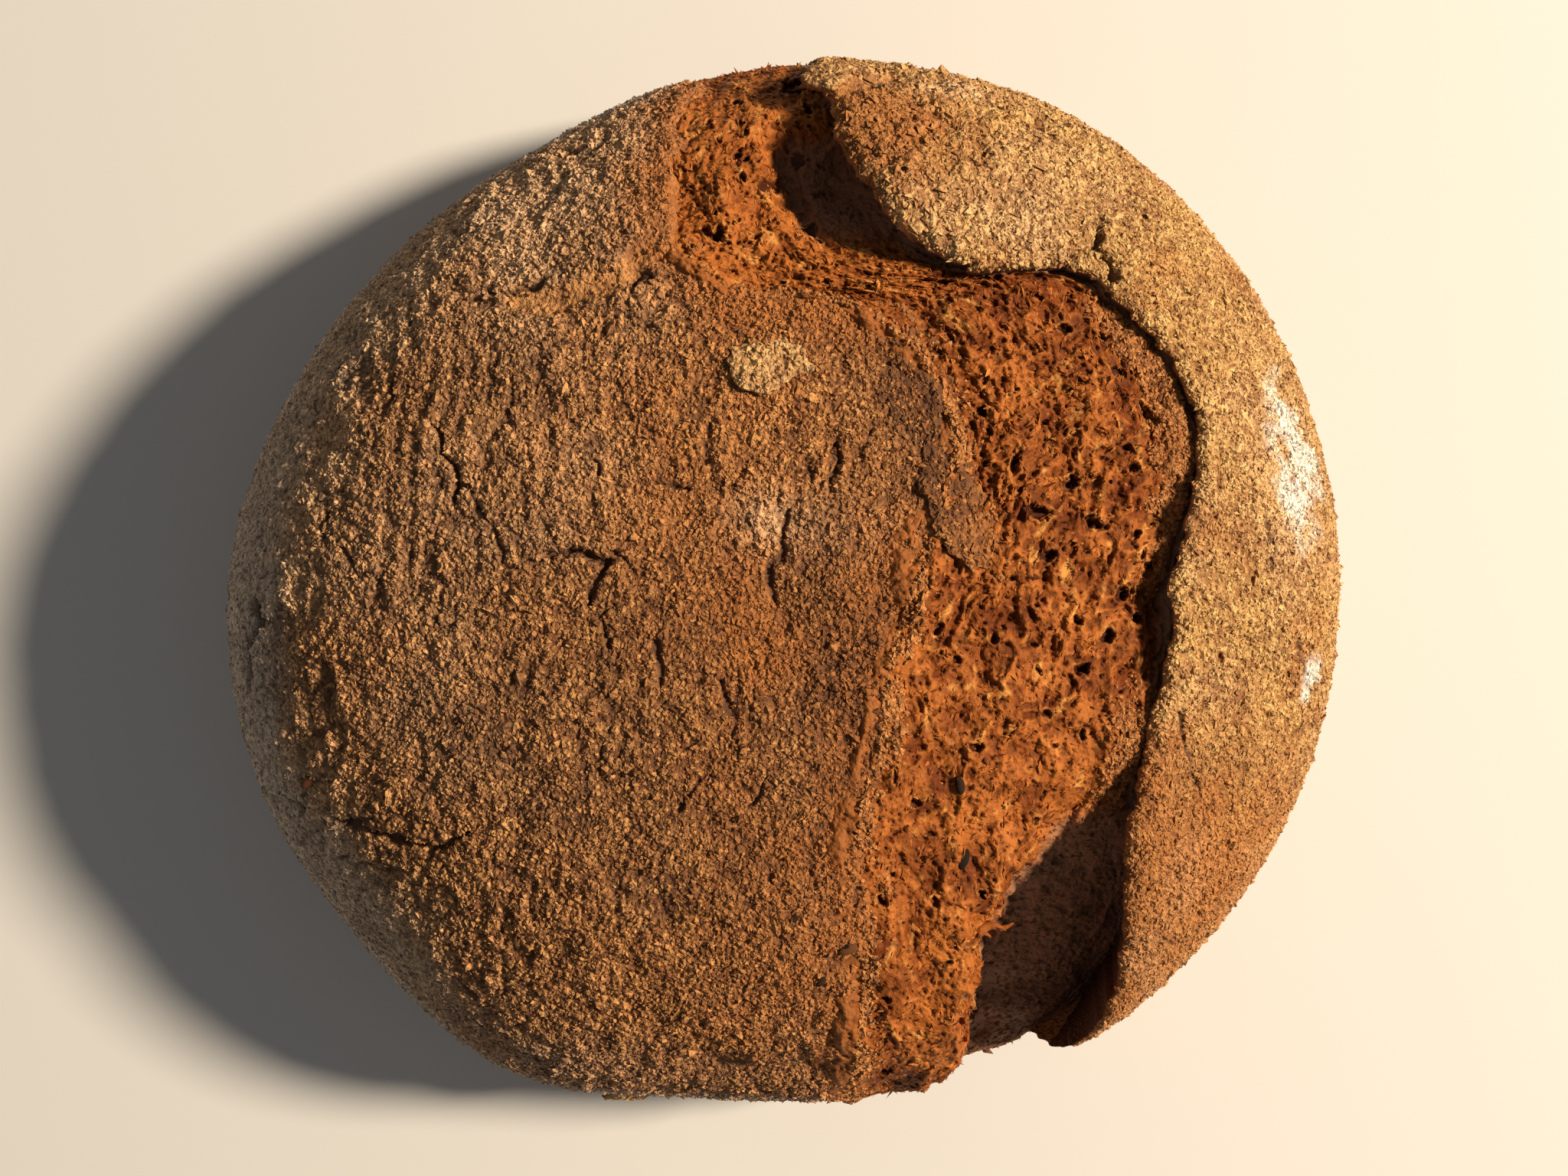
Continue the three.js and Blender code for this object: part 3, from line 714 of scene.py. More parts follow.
def make_rim(sizes, material):
    bm = flat_grid(RIM_ACROSS, RIM_ALONG, (0, 0), (1, 1))
    close_below(bm)
    mesh = mesh_of(bm, "crust_rim")
    flat = coordinates(mesh)
    across, along = flat[:, 0], flat[:, 1]
    below = flat[:, 2] < -0.5
    share = even_share(LIP_LINE, along)
    length = along * line_lengths(LIP_LINE)[-1]
    tear = tear_at(share)
    lip, radius = tear[:, LIP], tear[:, LIP_RADIUS]
    outward = lip - tear[:, INNER]
    outward /= np.linalg.norm(outward, axis=1, keepdims=True)
    first_angle, last_angle = np.arctan2(LIP_LINE[[0, -1], 1], LIP_LINE[[0, -1], 0])
    angle = lerp(first_angle, last_angle, along)
    foot = FOOT_REACH * outline_radius(angle)[:, None] * np.stack([np.cos(angle), np.sin(angle)], axis=1)

    # Shares of the way up the wall of the gap, round the lip and over the crust to the foot
    climb = np.clip(across / RIM_WALL_SHARE, 0, 1)
    turn = np.clip((across - RIM_WALL_SHARE) / (RIM_LIP_SHARE - RIM_WALL_SHARE), 0, 1)
    over = np.clip((across - RIM_LIP_SHARE) / (1 - RIM_LIP_SHARE), 0, 1)
    ragged = 0.9 * noise(length / 4.5, 0 * length) + 0.6 * noise(length / 1.7 + 7, 0 * length)
    ragged -= TIP_LENGTH * bell(np.hypot(lip[:, 0] - TIP_PLACE[0], lip[:, 1] - TIP_PLACE[1]), TIP_WIDTH)
    back = UNDERCUT_GROWTH * tear[:, UNDERCUT] * (1 - climb)
    back += radius * (1 - np.cos(turn * math.pi / 2)) + ragged
    edge = lip + outward * back[:, None]
    spot = lerp(edge, foot, (over ** RIM_SPREAD)[:, None])
    x, y = spot[:, 0], spot[:, 1]
    fine, values = rim_relief(x, y, sizes)
    brow = lip + outward * (radius + ragged)[:, None]
    brow_rise = crust_rise(brow[:, 0], brow[:, 1])
    bottom = -CRUST_STEP - tear[:, DEPTH] - WALL_BELOW
    top = np.maximum(brow_rise - radius, bottom + 1)
    rise = np.where(over > 0, crust_rise(x, y), lerp(top, brow_rise, np.sin(turn * math.pi / 2)))
    rise = np.where(climb < 1, lerp(bottom, top, climb), rise + fine * turn)
    points = torn_point(x, y, rise * foot_fade(x, y))
    sink_below(points, below)
    set_coordinates(mesh, points, turned=True)
    inside = 1 - smoothstep(0.0, 0.55, turn)
    values["orange"] = np.maximum(values["orange"], inside)
    # Painted shade: the lower wall of the gap, under the lip, takes the cracks' dark colour
    values["crack"] = np.maximum(values["crack"], 1 - smoothstep(0.0, 0.2, turn))
    reach = reach_of(x, y)
    side = smoothstep(SIDE_FROM, SIDE_TO, reach)
    gritty = smoothstep(0.0, 0.3, turn) * (1 - 0.8 * side) * low_fade(reach)
    values["grit"] *= np.where(below, 0, gritty * (1 - values["crack"]) * (1 - 0.75 * values["dark_and_shade"]))
    values["flaky"] = values["grit"] * patch(x, y, TONGUE_PLACE, (22, 20))
    give_values(mesh, values)
    return add_piece(mesh, material, replaced=(NODE,))


def rim_relief(x, y, sizes):
    """Fine relief of the rim and the values that colour it, among them painted shade in its lows, holes and
    cracks and painted glare on its right edge.
    """
    reach = reach_of(x, y)
    side = smoothstep(SIDE_FROM, SIDE_TO, reach)
    grit = rough(x, y, 2.4, 2, 6.0)
    pits = rough(x, y, 1.4, 2, 7.0)
    hole, own = cells(x, y, 5.0, 8.0)
    hole = (1 - smoothstep(0.08, 0.22, hole)) * smoothstep(0.0, 0.6, own)
    depth, crack = crack_depth(x, y, RIM_CRACKS)
    tongue = patch(x, y, TONGUE_PLACE, (24, 22))
    fine = ((0.5 + 0.5 * tongue) * grit + 0.5 * pits) * (1 - 0.4 * side) - 0.7 * hole
    angle = np.degrees(np.arctan2(y, x))
    flour = 0.35 * smoothstep(0.9, 1.1, reach) + 0.2 * smoothstep(0.1, 0.6, rough(x, y, 16, 2, 8.0))
    flour += patches(x, y, RIM_FLOUR_AND_GLARE)
    toast = 0.35 * smoothstep(0.0, 0.7, rough(x, y, 22, 2, 9.0)) + 0.2 * patch(x, y, (15, 82), (9, 14))
    orange = 0.95 * patch(x, y, (19, 83), (17, 15)) + 0.95 * smoothstep(-6, -36, angle) * (1 - 0.5 * side)
    orange += 0.55 * smoothstep(-0.1, 0.7, rough(x, y, 13, 3, 10.0))
    groove = bell(line_distance(x, y, RIM_GROOVE), GROOVE_WIDTH)
    orange = np.maximum(orange, 0.9 * groove)
    values = {
        "orange": np.clip(orange, 0, 1),
        "toast": np.clip(toast, 0, 1),
        "flour": np.clip(flour, 0, 1),
        # Painted glare: white patches along the rim's right edge
        "white_and_glare": np.clip(patches(x, y, RIM_FLOUR_GLARE) * (1.1 + 2.4 * rough(x, y, 5.0, 4, 16.0)) - 0.3, 0, 0.9),
        # Painted shade: the grit's low places and the holes, less in the groove
        "dark_and_shade": np.clip(np.maximum(-fine * 1.6, hole) * (1 - 0.6 * groove), 0, 1),
        "crack": crack,
        "tone_and_highlight": np.clip(fine * 1.4, 0, 1),
        "grit": 1 - 0.9 * groove,
    }
    return sizes.crust_relief / MM * fine - depth - GROOVE_DEPTH * groove, values


# Torn crumb

CRUMB_ALONG = 500
CRUMB_ACROSS = 190
CRUMB_INNER = -0.16
CRUMB_OUTER = 1.2
CRUMB_OVERLAP = 0.002
CRUMB_TOP = 0.3
UPPER_DROP = 2.2
CRUMB_PARTS = (("crumb_upper", 0.0, 0.5), ("crumb_lower", 0.5, 1.0))


def pore_list(rng):
    """The measured pores and many small ones, each as place, length, width and turn."""
    pores = [(x, y, length, width, math.radians(turn)) for x, y, length, width, turn in CRUMB_PORES]
    share = rng.uniform(0.08, 0.95, SMALL_PORES)
    across = rng.uniform(0.05, 0.95, SMALL_PORES)
    tear = tear_at(share)
    spots = lerp(tear[:, INNER], tear[:, LIP], across[:, None])
    lengths = 0.8 + rng.gamma(2.0, 0.34, SMALL_PORES)
    widths = lengths * rng.uniform(0.35, 0.8, SMALL_PORES)
    turns = rng.uniform(0, math.pi, SMALL_PORES)
    pores += list(zip(spots[:, 0], spots[:, 1], lengths, widths, turns))
    return pores


def pore_relief(x, y, rng):
    """Depth of the pores, how dark they are with painted shade inside them, and the thin walls round them.
    """
    depth = np.zeros_like(x)
    dark = np.zeros_like(x)
    wall = np.zeros_like(x)
    wobble = 0.4 * noise(x / 0.8, y / 0.8) + 0.25 * noise(x / 1.9 + 4, y / 1.9)
    for pore_x, pore_y, length, width, turn in pore_list(rng):
        near = np.flatnonzero((np.abs(x - pore_x) < length * 1.5) & (np.abs(y - pore_y) < length * 1.5))
        off_x, off_y = x[near] - pore_x, y[near] - pore_y
        along = (off_x * math.cos(turn) + off_y * math.sin(turn)) / (length / 2)
        beside = (off_y * math.cos(turn) - off_x * math.sin(turn)) / (width / 2)
        out = np.hypot(along, beside) + wobble[near]
        depth[near] = np.maximum(depth[near], min(0.9 * width, 2.2) * (1 - smoothstep(0.5, 1.05, out)))
        dark[near] = np.maximum(dark[near], min(1.0, 0.5 + 0.25 * width) * (1 - smoothstep(0.7, 1.0, out)))
        wall[near] = np.maximum(wall[near], bell(out - 1.14, 0.16))
    return depth, dark, wall


def crumb_relief(x, y, along, beside, openness, golden):
    """Waves, bubbles and pores of the torn crumb: height, and how dark, golden and pale they are; the dark
    is painted shade in pores, cups and dimples, and the golden and pale tones are partly painted highlight.
    """
    swirl = 2.6 * noise(x / 9, y / 9) + 0.8 * noise(x / 3.1, y / 3.1 + 5)
    twirl = 2.6 * noise(x / 9 + 40, y / 9) + 0.8 * noise(x / 3.1 + 7, y / 3.1)
    run, cross = along + swirl, beside + twirl
    fold = ridged(run / 16, cross / 5)
    tangle = 1.3 * noise(x / 2.3, y / 2.3 + 50)
    fibre = (0.3 + 0.7 * openness) * ridged((run + tangle) / 4.0, (cross + tangle) / 1.3 + 30)
    fine = rough(x, y, 1.1, 2, 4.0)
    film = rough(x + swirl, y + twirl, 6.0, 4, 14.0)
    bubble, bubble_own = cells(run / 1.25, cross, 2.6)
    froth, froth_own = cells(x + 0.4 * swirl, y + 0.4 * twirl, 1.3, 9.0)
    cup = (1 - smoothstep(0.15, 0.5, bubble)) * smoothstep(-0.3, 0.6, bubble_own + 1.2 * openness - 0.8)
    dimple = (1 - smoothstep(0.15, 0.45, froth)) * smoothstep(0.0, 0.6, froth_own)
    pore, dark, wall = pore_relief(x, y, np.random.default_rng(11))
    height = 1.4 * rough(x, y, 8.0, 2, 3.0) + 0.6 * fold + 0.4 * fibre + 0.4 * fine
    height += 0.4 * wall - 0.8 * cup - 0.6 * dimple - pore
    # Painted shade: pores, bubble cups and dimples darkened, with random dark streaks of the film
    dark = np.maximum.reduce([dark, 0.55 * cup, 0.65 * dimple, 0.6 * np.clip(-film - 0.2, 0, 1)])
    # Golden and pale tones: random mottle and zones, partly painted highlight on raised folds, fibres,
    # bubble rims and films
    gold = golden + 1.2 * film + 0.3 * fold + 0.3 * fibre + 0.4 * fine + 0.3 * bell(bubble - 0.55, 0.12)
    pale_and_glint = 0.7 * wall * smoothstep(-0.3, 0.4, film)
    pale_and_glint += 0.8 * smoothstep(0.25, 0.7, rough(run / 2, cross, 1.8, 3, 15.0))
    return height, np.clip(dark, 0, 1), np.clip(gold, 0, 1), np.clip(pale_and_glint * (1 - dark), 0, 1)


def crumb_zones(x, y, share, across, beside):
    """Zones of the crumb: the crusty ledge by the gap, its two ends and the border at the dome's crust."""
    ledge = smoothstep(0.38, 0.44, share) * (1 - smoothstep(0.54, 0.60, share))
    ledge = np.maximum(ledge, 0.9 * bell(share - 0.69, 0.03))
    ledge *= smoothstep(0.83, 0.92, across + 0.06 * noise(x / 4, y / 4))
    ledge *= 1 - smoothstep(0.98, 1.01, across)
    upper, lower = 1 - smoothstep(0.22, 0.34, share), smoothstep(0.60, 0.72, share)
    border = (1 - 0.6 * upper) * (1 - smoothstep(0.0, 8.0, beside + 3.0 * noise(x / 5, y / 5)))
    return ledge, upper, lower, border


def make_crumb_part(name, start, end, sizes, material):
    low, high = (CRUMB_INNER, start - CRUMB_OVERLAP), (CRUMB_OUTER, end + CRUMB_OVERLAP)
    bm = flat_grid(CRUMB_ACROSS, CRUMB_ALONG, low, high)
    close_below(bm)
    mesh = mesh_of(bm, name)
    flat = coordinates(mesh)
    below = flat[:, 2] < -0.5
    across = flat[:, 0]
    share = even_share(MIDDLE_LINE, np.clip(flat[:, 1], 0, 1))
    tear = tear_at(share)
    spot = lerp(tear[:, INNER], tear[:, LIP], across[:, None])
    x, y = spot[:, 0], spot[:, 1]
    tear[:, CLIFF_PLACE] += 0.05 * noise(x / 5, y / 5) + 0.025 * noise(x / 1.6, y / 1.6)
    along = flat[:, 1] * line_lengths(MIDDLE_LINE)[-1]
    beside = across * np.linalg.norm(tear[:, LIP] - tear[:, INNER], axis=1)
    ledge, upper, lower, border = crumb_zones(x, y, share, across, beside)
    openness = (1 - 0.75 * (upper + lower)) * (1 - ledge) * (1 - 0.6 * border)
    golden = 0.08 + 0.74 * upper + 0.30 * lower + 0.4 * border * (1 - upper - lower)
    height, dark, gold, pale_and_glint = crumb_relief(x, y, along, beside, openness, golden)
    fade = smoothstep(0.0, 0.05, share) * (1 - smoothstep(0.96, 1.0, share))
    rise = np.minimum(crumb_rise(tear, across, x, y), CRUMB_TOP)
    # Painted shade: the floor deep in the tear gets a greyer shade tone
    deep = smoothstep(0.55, 0.95, -rise / np.maximum(tear[:, DEPTH] + CRUST_STEP, 12.0))
    rise += sizes.crumb_relief / MM * height * lerp(0.25, 1.0, fade)
    rise -= EDGE_DROP * smoothstep(-0.05, CRUMB_INNER, across)
    rise -= UPPER_DROP * (1 - smoothstep(0.07, 0.13, share))
    points = torn_point(x, y, rise * foot_fade(x, y))
    sink_below(points, below)
    set_coordinates(mesh, points, turned=True)
    shut = 0.7 * (1 - smoothstep(-1.5, 2.0, beside + 1.5 * noise(x / 3, y / 3)))
    ends = 1 - fade
    fade *= low_fade(reach_of(x, y))
    inside = fade * (1 - smoothstep(0.9, 1.0, across)) * smoothstep(0.02, 0.12, across)
    values = {
        "dark_and_shade": dark,
        "tone_and_highlight": gold,
        "pale_and_glint": pale_and_glint * (1 - border),
        "shut": np.maximum.reduce([ends, shut, 0.6 * ledge]),
        # Painted shade: the band under the lip and the deep floor
        "deep_shade": np.maximum(smoothstep(0.97, 1.03, across), 0.9 * deep),
        "orange": 1 - np.maximum(0.4 * border, 0.4 * ledge),
        "toast": 0.15 * ledge,
        "grit": np.where(below, 0, inside * (1 - ledge) * (1 - 0.8 * dark)),
        "bran": np.where(below, 0, np.maximum(fade * (across > 0) * border ** 3, ledge)),
    }
    give_values(mesh, values)
    return add_piece(mesh, material)


def make_crumb(sizes, material):
    for name, start, end in CRUMB_PARTS:
        make_crumb_part(name, start, end, sizes, material)


# Lifted pieces of crust

PLATE_SPACING = 0.45


def make_plate(name, material, outline, low_rise, high_rise, lift_turn, flour, orange, sizes):
    """A piece of crust whose upper face runs from low_rise to high_rise in the direction of lift_turn."""
    outline = np.array(outline, dtype=float)
    closed = np.concatenate([outline, outline[:1]])
    low, high = outline.min(axis=0) - 1, outline.max(axis=0) + 1
    columns, rows = ((high - low) / PLATE_SPACING).astype(int)
    bm = flat_grid(int(columns), int(rows), low, high)

    def inside(x, y):
        return line_distance(x, y, closed) + 0.9 * noise(x / 2.6, y / 2.6) + 0.4 * noise(x / 1.1, y / 1.1)

    trim(bm, inside(*spots_of(bm)) > 0)
    close_below(bm)
    mesh = mesh_of(bm, name)
    flat = coordinates(mesh)
    x, y = flat[:, 0], flat[:, 1]
    step = 0.1
    slope_x = (inside(x + step, y) - inside(x - step, y)) / (2 * step)
    slope_y = (inside(x, y + step) - inside(x, y - step)) / (2 * step)
    steep = np.maximum(slope_x ** 2 + slope_y ** 2, 0.3)
    outside = np.minimum(inside(x, y), 0)
    x, y = x - outside * slope_x / steep, y - outside * slope_y / steep
    turn = math.radians(lift_turn)
    way = x * math.cos(turn) + y * math.sin(turn)
    lift = lerp(low_rise, high_rise, (way - way.min()) / (way.max() - way.min()))
    grit = rough(x, y, 2.4, 3, 5.0)
    rise = crust_rise(x, y) + lift + 0.5 * sizes.crust_relief / MM * grit
    below = flat[:, 2] < -0.5
    rise -= np.where(below, sizes.plate_thickness / MM, 0.4 * bell(inside(x, y), 0.8))
    set_coordinates(mesh, raised_point(x, y, rise))
    values = {
        "orange": np.where(below, 1.0, np.clip(orange + patches(x, y, AMBER), 0, 1)),
        "toast": np.clip(patches(x, y, TOASTED), 0, 1),
        "flour": np.full(len(x), flour),
        # Painted shade in the grit's lows, and a paler crest tone that is partly painted highlight
        "dark_and_shade": np.clip(-grit, 0, 1),
        "crack": np.zeros_like(x),
        "tone_and_highlight": np.clip(grit, 0, 1),
        "grit": np.where(below, 0, smoothstep(0.2, 0.8, inside(x, y)) * (1 - 0.7 * np.clip(-grit, 0, 1))),
    }
    give_values(mesh, values)
    return add_piece(mesh, bpy.data.materials[material])


# Base

BASE_SEGMENTS = 180
BASE_RINGS = 44
BASE_MIDDLE = 0.02
BASE_THICKNESS = 3.0
DIMPLE_DEPTH = 0.6


def make_base(material):
    bm = bmesh.new()
    bmesh.ops.create_circle(bm, cap_ends=True, segments=BASE_SEGMENTS, radius=1.0)
    bm.faces.ensure_lookup_table()
    middle = bm.faces[0]
    ring_width = (1 - BASE_MIDDLE) / BASE_RINGS
    for _ in range(BASE_RINGS):
        bmesh.ops.inset_region(bm, faces=[middle], thickness=ring_width, use_boundary=True)
    close_below(bm)
    mesh = mesh_of(bm, "base_crust")
    flat = coordinates(mesh)
    upper = flat[:, 2] < -0.5
    spread = np.hypot(flat[:, 0], flat[:, 1])
    angle = np.arctan2(flat[:, 1], flat[:, 0])
    radius = spread * FOOT_SHARE * outline_radius(angle)
    x, y = radius * np.cos(angle), radius * np.sin(angle)
    dimple = DIMPLE_DEPTH * np.clip(rough(x, y, 9.0, 4, 12.0), 0, 1) * (1 - smoothstep(0.93, 0.99, spread))
    height = np.where(upper, BASE_THICKNESS, dimple)
    set_coordinates(mesh, np.stack([x, y, height], axis=1), turned=True)
    give_values(mesh, {"flour": np.clip(0.5 + rough(x, y, 14.0, 3, 13.0), 0, 1)})
    return add_piece(mesh, material)


# Scattered bran, strands and seeds

CARRIED_VALUES = ("orange", "toast", "flour", "white_and_glare", "shut", "deep_shade", "pale_and_glint", "tone_and_highlight", "dark_and_shade")
GRAIN_STRETCH = ((0.9, 0.75, 0.55), (1.45, 1.1, 0.95))
FLAKE_STRETCH = ((1.0, 0.9, 0.35), (1.7, 1.3, 0.65))
SHRED_STRETCH = ((1.0, 0.5, 0.25), (2.4, 1.0, 0.45))
GRAIN_TILT = 0.35
GRAIN_SPREAD = 0.28
FLAKE_GROWTH = 1.25
LEAST_GRAINS = 60
VERTICES_TO_A_GRAIN = 5


def joined_mesh(name, points, faces):
    """One mesh from an array of like shapes: points by shape and faces within a shape."""
    count, per_shape = points.shape[:2]
    mesh = bpy.data.meshes.new(name)
    numbers = (faces[None] + per_shape * np.arange(count)[:, None, None]).reshape(-1, faces.shape[1])
    mesh.from_pydata(points.reshape(-1, 3), [], numbers)
    return mesh


def shape_arrays(bm):
    points = np.array([vert.co[:] for vert in bm.verts])
    faces = np.array([[vert.index for vert in face.verts] for face in bm.faces])
    bm.free()
    return points, faces


def grain_shape():
    bm = bmesh.new()
    bmesh.ops.create_uvsphere(bm, u_segments=4, v_segments=2, radius=1.0)
    bmesh.ops.triangulate(bm, faces=bm.faces)
    bm.verts.index_update()
    return shape_arrays(bm)


def scattered_places(ground, weighting, count, rng):
    """Random places on a piece, thicker where its weighting is high: points, normals and values there."""
    mesh = ground.data
    mesh.calc_loop_triangles()
    corners = np.empty(len(mesh.loop_triangles) * 3, dtype=np.int32)
    mesh.loop_triangles.foreach_get("vertices", corners)
    corners = corners.reshape(-1, 3)
    points = coordinates(mesh)[corners]
    normal = np.cross(points[:, 1] - points[:, 0], points[:, 2] - points[:, 0])
    area = np.linalg.norm(normal, axis=1)
    weight = area * values_of(mesh, weighting)[corners].min(axis=1)
    chosen = rng.choice(len(weight), size=count, p=weight / weight.sum())
    edge = np.sqrt(rng.random(count))
    slide = rng.random(count)
    shares = np.stack([1 - edge, edge * (1 - slide), edge * slide], axis=1)
    spots = (points[chosen] * shares[:, :, None]).sum(axis=1)
    normals = normal[chosen] / area[chosen][:, None]
    values = {}
    for name in CARRIED_VALUES:
        values[name] = (values_of(mesh, name)[corners[chosen]] * shares).sum(axis=1)
    return spots, normals, values


def side_directions(normals, guess):
    """Two directions square to each normal, the second of them on the guess's line."""
    first = np.cross(normals, guess)
    first /= np.linalg.norm(first, axis=1, keepdims=True)
    return first, np.cross(normals, first)


def swirl_directions(spots, rng):
    """Directions along the crumb's swirls, which turn slowly from place to place."""
    x, y = (spots / MM + MIDDLE)[:, :2].T
    turn = 2.2 * math.pi * noise(x / 15, y / 15 + 60) + 0.7 * rng.normal(size=len(spots))
    return np.stack([np.cos(turn), np.sin(turn), 0 * turn], axis=1)


def scatter_grains(name, ground, weighting, count, size, stretch, seed, material=None, swirled=False):
    """Angular grains half sunk in a piece, of its own material unless another is given."""
    rng = np.random.default_rng(seed)
    shape, faces = grain_shape()
    spots, normals, values = scattered_places(ground, weighting, count, rng)
    normals = normals + GRAIN_TILT * rng.normal(size=normals.shape)
    normals /= np.linalg.norm(normals, axis=1, keepdims=True)
    guess = swirl_directions(spots, rng) if swirled else rng.normal(size=normals.shape)
    second, first = side_directions(normals, guess)
    bulk = size / 2 * rng.lognormal(0.0, GRAIN_SPREAD, (count, 1, 1))
    local = shape[None] * rng.uniform(0.7, 1.3, (count, len(shape), 3)) * bulk
    local *= rng.uniform(*stretch, (count, 3))[:, None]
    axes = np.stack([first, -second, normals], axis=1)
    mesh = joined_mesh(name, spots[:, None] + local @ axes, faces)
    tone = rng.random(count)
    # Random tone of each grain on top of the painted highlight and painted shade carried from its ground
    values["tone_and_highlight"] = np.clip(0.45 * values["tone_and_highlight"] + 1.5 * (tone - 0.35), 0, 1)
    values["dark_and_shade"] = np.clip(0.5 * values["dark_and_shade"] + 3.0 * (0.24 - tone), 0, 0.8)
    values["toast"] *= rng.uniform(0.1, 1.1, count)
    give_values(mesh, {key: np.repeat(numbers, len(shape)) for key, numbers in values.items()})
    return add_piece(mesh, material or ground.data.materials[0], smooth=False)


STRAND_SIDES = 6
STRAND_CUTS = 5
STRAND_TAPER = 0.25
STRAND_SAG = 1.2
STRAND_WAVE = 0.5
STRAND_GOLD = 0.2
# Strands across the notch: x, y and rise of the start, then of the end
NOTCH_STRANDS = (
    (33, -62.5, -1.5, 42, -64.5, -9), (36, -63.5, -3, 44, -65, -13), (33, -65, -3, 39, -65.5, -8),
)


def strand_shape():
    """A tapered strand along Z from -0.5 to 0.5, cut into short lengths so that it can bend."""
    bm = bmesh.new()
    bmesh.ops.create_cone(
        bm, cap_ends=True, segments=STRAND_SIDES, radius1=1.0, radius2=STRAND_TAPER, depth=1.0)
    sides = [edge for edge in bm.edges if abs(edge.verts[0].co.z - edge.verts[1].co.z) > 0.5]
    bmesh.ops.subdivide_edges(bm, edges=sides, cuts=STRAND_CUTS, use_grid_fill=True)
    bmesh.ops.triangulate(bm, faces=bm.faces)
    bm.verts.index_update()
    return shape_arrays(bm)


def make_strands(sizes, material):
    """Thin strands of crumb that bridge the deep notch, each from a start to an end on the skin."""
    shape, faces = strand_shape()
    share = shape[:, 2:] + 0.5
    ends = np.array(NOTCH_STRANDS, dtype=float)
    start = torn_point(ends[:, 0], ends[:, 1], ends[:, 2])
    run = torn_point(ends[:, 3], ends[:, 4], ends[:, 5]) - start
    forward = run / np.linalg.norm(run, axis=1, keepdims=True)
    first, second = side_directions(forward, np.array([0.0, 0.0, 1.0]))
    thick = sizes.strand_thickness / MM / 2
    points = start[:, None] + share * run[:, None]
    points += thick * (shape[:, :1] * first[:, None] + shape[:, 1:2] * second[:, None])
    points[..., 2] -= STRAND_SAG * np.sin(share[:, 0] * math.pi)
    points[..., 1] += STRAND_WAVE * np.sin(share[:, 0] * 9 + ends[:, :1])
    mesh = joined_mesh("notch_strands", (points - MIDDLE) * MM, faces)
    give_values(mesh, {"tone_and_highlight": np.full(len(mesh.vertices), STRAND_GOLD)})
    return add_piece(mesh, material)


SEED_WIDTH, SEED_THICKNESS = 0.52, 0.36
SEED_GROUNDS = ("crust_dome", "crust_rim", "crumb_upper", "crumb_lower")


def height_over(pieces, x, y):
    """Height of the highest of some pieces under a place."""
    above = (x * MM, y * MM, CAD_BOX[1][2] + 0.1)
    heights = []
    for piece in pieces:
        found, spot, _, _ = piece.ray_cast(above, (0, 0, -1))
        if found:
            heights.append(spot.z)
    return max(heights)


def make_seeds(pieces, material):
    bm = bmesh.new()
    tones = []
    for x, y, length, turn, tone in SEEDS:
        place = Matrix.Translation((x * MM, y * MM, height_over(pieces, x, y)))
        half = length * MM / 2
        shape = Matrix.Diagonal((half, half * SEED_WIDTH, half * SEED_THICKNESS, 1))
        matrix = place @ Matrix.Rotation(math.radians(turn), 4, "Z") @ shape
        made = bmesh.ops.create_uvsphere(bm, u_segments=16, v_segments=10, radius=1.0, matrix=matrix)
        tones += [tone] * len(made["verts"])
    mesh = mesh_of(bm, "whole_seeds")
    give_values(mesh, {"tone": tones})
    return add_piece(mesh, material)


# Materials

def new_material(name):
    material = bpy.data.materials.new(name)
    material.use_nodes = True
    tree = material.node_tree
    shader = tree.nodes["Principled BSDF"]
    shader.inputs["Roughness"].default_value = 0.85
    shader.inputs["Specular IOR Level"].default_value = 0.25
    return material, tree, shader


def link_or_set(tree, socket, value):
    if hasattr(value, "is_output"):
        tree.links.new(value, socket)
    elif isinstance(value, (int, float)):
        socket.default_value = value
    else:
        socket.default_value = (*value, 1.0)


def noise_node(tree, vector, detail, roughness):
    node = tree.nodes.new("ShaderNodeTexNoise")
    node.inputs["Detail"].default_value = detail
    node.inputs["Roughness"].default_value = roughness
    tree.links.new(vector, node.inputs["Vector"])
    return node


def value_range(tree, value, low, high, to_low=0.0, to_high=1.0):
    node = tree.nodes.new("ShaderNodeMapRange")
    node.interpolation_type = "SMOOTHSTEP"
    for name, number in (("From Min", low), ("From Max", high), ("To Min", to_low), ("To Max", to_high)):
        node.inputs[name].default_value = number
    tree.links.new(value, node.inputs["Value"])
    return node.outputs["Result"]


def mix_colour(tree, factor, first, second):
    node = tree.nodes.new("ShaderNodeMix")
    node.data_type = "RGBA"
    link_or_set(tree, node.inputs[0], factor)
    link_or_set(tree, node.inputs[6], first)
    link_or_set(tree, node.inputs[7], second)
    return node.outputs[2]


def calculate(tree, operation, *values):
    node = tree.nodes.new("ShaderNodeMath")
    node.operation = operation
    for socket, value in zip(node.inputs, values):
        link_or_set(tree, socket, value)
    return node.outputs["Value"]


def attribute(tree, name, share=1.0):
    node = tree.nodes.new("ShaderNodeAttribute")
    node.attribute_name = name
    if share == 1.0:
        return node.outputs["Fac"]
    return calculate(tree, "MULTIPLY", node.outputs["Fac"], share)


